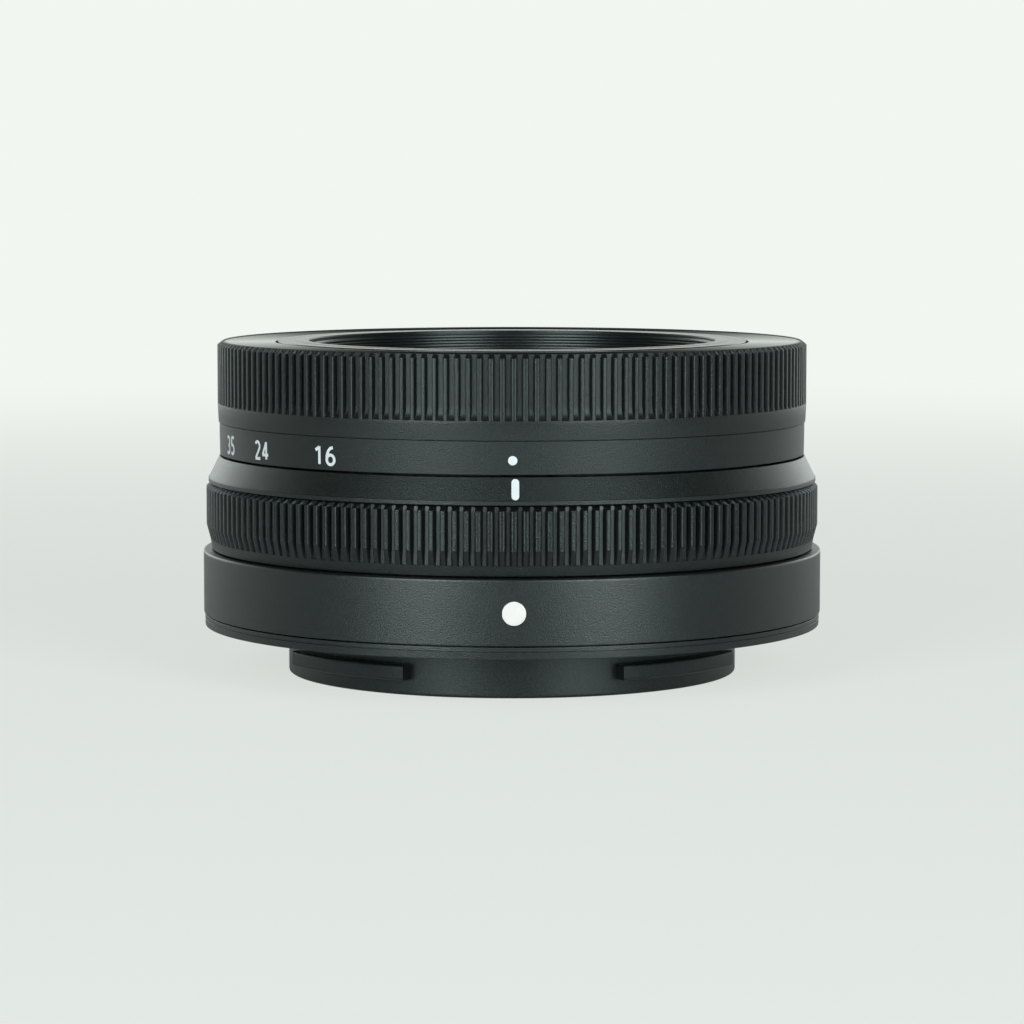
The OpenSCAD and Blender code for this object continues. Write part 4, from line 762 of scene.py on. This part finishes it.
# Front trim: the black ring round the front glass, with fine steps that stop stray light.
# Moulded plastic, dropped into the barrel and held by its rim.
step_count, step_in, step_down = 13, 0.6, 0.115
trim_black = moulded("trim_black", 0.008, 0.45, 6e-6)
steps = []
for k in range(step_count):
    r, z = 21.2 - step_in * k, 28.35 - step_down * k
    steps += [(r, z), (r - 0.12, z - 0.1)]
hold(lathe("glare_steps", [
    (13.2, 26.33), (22.65, 26.4), (22.65, 28.9, 0.1), (21.45, 28.9, 0.1)] + steps + [
    (13.2, 26.85)], trim_black), "front", "black_plastic", "front_trim")


# Front optics: the first three lenses in a moulded cell, held in the barrel by three screws.
# The front lens is hollowed behind; all are coated, with a green or violet bloom.
hollow_r, hollow_bend, hollow_z, hollow_steps = 8.127, -14, 26.4, 16
crown_r, crown_bend, crown_z, foot_z = 14, -45, 28.0, 23.8
hollow = [hollow_r * k / hollow_steps for k in range(hollow_steps + 1)]
crown = [crown_r * (1 - k / face_steps) for k in range(face_steps + 1)]
hold(lathe("front_lens_glass", [(r, hollow_z + sag(hollow_bend, r)) for r in hollow]
           + [(crown_r, foot_z)] + [(r, crown_z + sag(crown_bend, r)) for r in crown],
           green_coat, 160), "front", "glass", "front_lens")
lens("second_lens", "front", 21.2, 22.4, -30, 23.3, -80, violet_coat)
lens("third_lens", "front", 18, 19.9, 0, 21.9, -28, green_coat)
dress(inner_matt, "front_cell")
dress(screw_steel, "cell_screws")


# Middle group: a frame that slides on the cam, with the iris housing, a lens and a cemented pair.
# Moulded parts, with copper coils and steel balls for the stabiliser let into the frame.
dress(inner_matt, "middle_frame", "iris_base", "iris_cover")
lens("fourth_lens", "middle", 13.2, 15.245, 0, 16.645, -26, violet_coat)
lens("doublet_front", "middle", 15, 9.45, 40, 10.65, 0, green_coat)
lens("doublet_rear", "middle", 15, 8.95, 0, 9.45, 40, violet_coat)


def windings(place):
    wire = place.noise(1800, 1)
    return {"Base Color": wire.mix((0.5, 0.2, 0.08, 1), (0.78, 0.42, 0.2, 1)),
            "Roughness": 0.26 + 0.12 * wire, "Normal": wire.bump(2e-5)}


dress(finish("copper_wire", windings, Metallic=1.0), "shift_coils")
dress(rod_steel, "shift_balls")


# Iris: seven thin blades on pivots, opened and closed together by a slotted ring.
# The blades are pressed from sheet and coated matt black, the ring is anodised.
dress(black_anodised, "iris_ring")
blade_coat, blade_count = moulded("blade_coat", 0.018, 0.55, 2e-6), 7
dress(blade_coat, *("iris_blade_%d" % (k + 1) for k in range(blade_count)))


# Stabiliser: a lens frame that shifts sideways on balls and an L-shaped rod, moved by magnets.
# The frame is moulded, the rod ground steel and the magnets nickel plated.
dress(inner_matt, "shift_frame")
dress(rod_steel, "shift_rod")
nickel_plate = metal("nickel_plate", (0.6, 0.59, 0.57, 1), (0.5, 0.49, 0.48, 1), 0.24, 1500)
dress(nickel_plate, "shift_magnets")
lens("shift_lens", "shift", 14, 11.15, 0, 11.65, 60, green_coat)


# Floor: a plain pale table that fades into the pale background.
# It is just clear of the mount's foot. Seen directly or in gloss it keeps an even tone,
# and the lamps still cast the lens's shadow on it.
def sight(place):
    """Rays straight from the camera, and rays that come by way of gloss or glass."""
    camera_ray, gloss_ray, glass_ray = (
        place.add("ShaderNodeLightPath", out="Is %s Ray" % kind)
        for kind in ("Camera", "Glossy", "Transmission"))
    return camera_ray, place.math("MAXIMUM", gloss_ray, glass_ray)


floor_gap, floor_half = 0.05 * mm, 30
floor_z = cad_box[0][2] - floor_gap
floor_mesh = bmesh.new()
bmesh.ops.create_grid(floor_mesh, x_segments=8, y_segments=8, size=floor_half)
floor_material = bpy.data.materials.new("pale_table")
floor_material.use_nodes = True
floor_material.node_tree.nodes.clear()
ground = piece_of("pale_table", floor_mesh, floor_material)
ground.data.transform(Matrix.Translation((0, 0, floor_z)))
place = Wire(floor_material.node_tree).add("ShaderNodeTexCoord", out="Object")
far = place.off_axis().ramp(0.12, 0.6)
pale = (0.879, 0.922, 0.879, 1)
straight, by_gloss = sight(place)
matt = place.add("ShaderNodeBsdfDiffuse", {}, {"Color": (0.8, 0.82, 0.8, 1)})
lit = place.add("ShaderNodeEmission", {}, {"Color": pale})
near_direct, near_gloss = 0.72, 0.15
direct = straight * (near_direct + (1 - near_direct) * far)
in_gloss = (near_gloss + (1 - near_gloss) * far) * by_gloss
both = place.add("ShaderNodeMixShader", {}, {
    0: place.math("MAXIMUM", direct, in_gloss), 1: matt, 2: lit})
place.add("ShaderNodeOutputMaterial", {}, {"Surface": both})


# Studio light: two tall soft boxes beside the camera, each with a dim upper part, and a fainter
# pair behind the lens that lifts its side edges. The room behind the lens is pale and the
# camera's side of it is dim.
box_away, lens_middle, lamp_tint = 0.9, 14 * mm, (0.91, 1, 0.99)


def softbox(name, azimuth, elevation, width, height, radiance):
    """A soft box aimed at the lens, its azimuth measured from the camera's side."""
    data = bpy.data.lights.new(name, "AREA")
    data.shape, data.size, data.size_y = "RECTANGLE", width, height
    data.energy = radiance * math.pi * width * height
    data.color = lamp_tint
    lamp = bpy.data.objects.new(name, data)
    a, e = math.radians(azimuth), math.radians(elevation)
    middle = Vector((0, 0, lens_middle))
    lamp.location = middle + box_away * Vector(
        (math.sin(a) * math.cos(e), -math.cos(a) * math.cos(e), math.sin(e)))
    lamp.rotation_euler = (middle - lamp.location).to_track_quat("-Z", "Y").to_euler()
    bpy.context.scene.collection.objects.link(lamp)


softbox("left_box", -32, 14, 0.45, 0.5, 7.2)
softbox("right_box", 33, 14, 0.45, 0.5, 7.2)
softbox("left_upper_box", -32, 46, 0.45, 0.5, 0.7)
softbox("right_upper_box", 33, 46, 0.45, 0.5, 0.7)
softbox("left_rear_box", -148, 12, 0.4, 0.4, 1.3)
softbox("right_rear_box", 148, 12, 0.4, 0.4, 1.3)
world = bpy.data.worlds.new("pale_room")
bpy.context.scene.world = world
world.use_nodes = True
world.node_tree.nodes.clear()
way = Wire(world.node_tree).add("ShaderNodeTexCoord", out="Generated")
straight, by_gloss = sight(way)
_, depth, height = way.parts()
behind = depth.ramp(-0.15, 0.4) * (1 - height.ramp(0.25, 0.7))
seen = way.math("MAXIMUM", straight, behind * by_gloss)
dim_strength = 0.04
bright = way.add("ShaderNodeBackground", {}, {"Color": pale, "Strength": 1.0})
dim = way.add("ShaderNodeBackground", {}, {"Color": (1, 1, 1, 1), "Strength": dim_strength})
room = way.add("ShaderNodeMixShader", {}, {0: seen, 1: dim, 2: bright})
way.add("ShaderNodeOutputWorld", {}, {"Surface": room})


# Camera: a long lens a little above the upper ring, tipped slightly down, with the index marks
# almost facing it. Its place and tilt are in mm and degrees from the lens axis and the seat.
camera_data = bpy.data.cameras.new("camera")
camera_data.lens, camera_data.sensor_width = 134.6, 36
camera_data.clip_start, camera_data.clip_end = 0.01, 200
camera = bpy.data.objects.new("camera", camera_data)
bpy.context.scene.collection.objects.link(camera)
camera_turn, camera_tilt, camera_away, camera_high = -0.36, 5.26, 433.97, 52.4
a = math.radians(camera_turn)
camera.location = mm * Vector(
    (math.sin(a) * camera_away, -math.cos(a) * camera_away, camera_high))
camera.rotation_euler = (math.radians(90 - camera_tilt), 0, a)
bpy.context.scene.camera = camera
bpy.context.scene.view_settings.view_transform = "Standard"

bpy.context.view_layer.update()
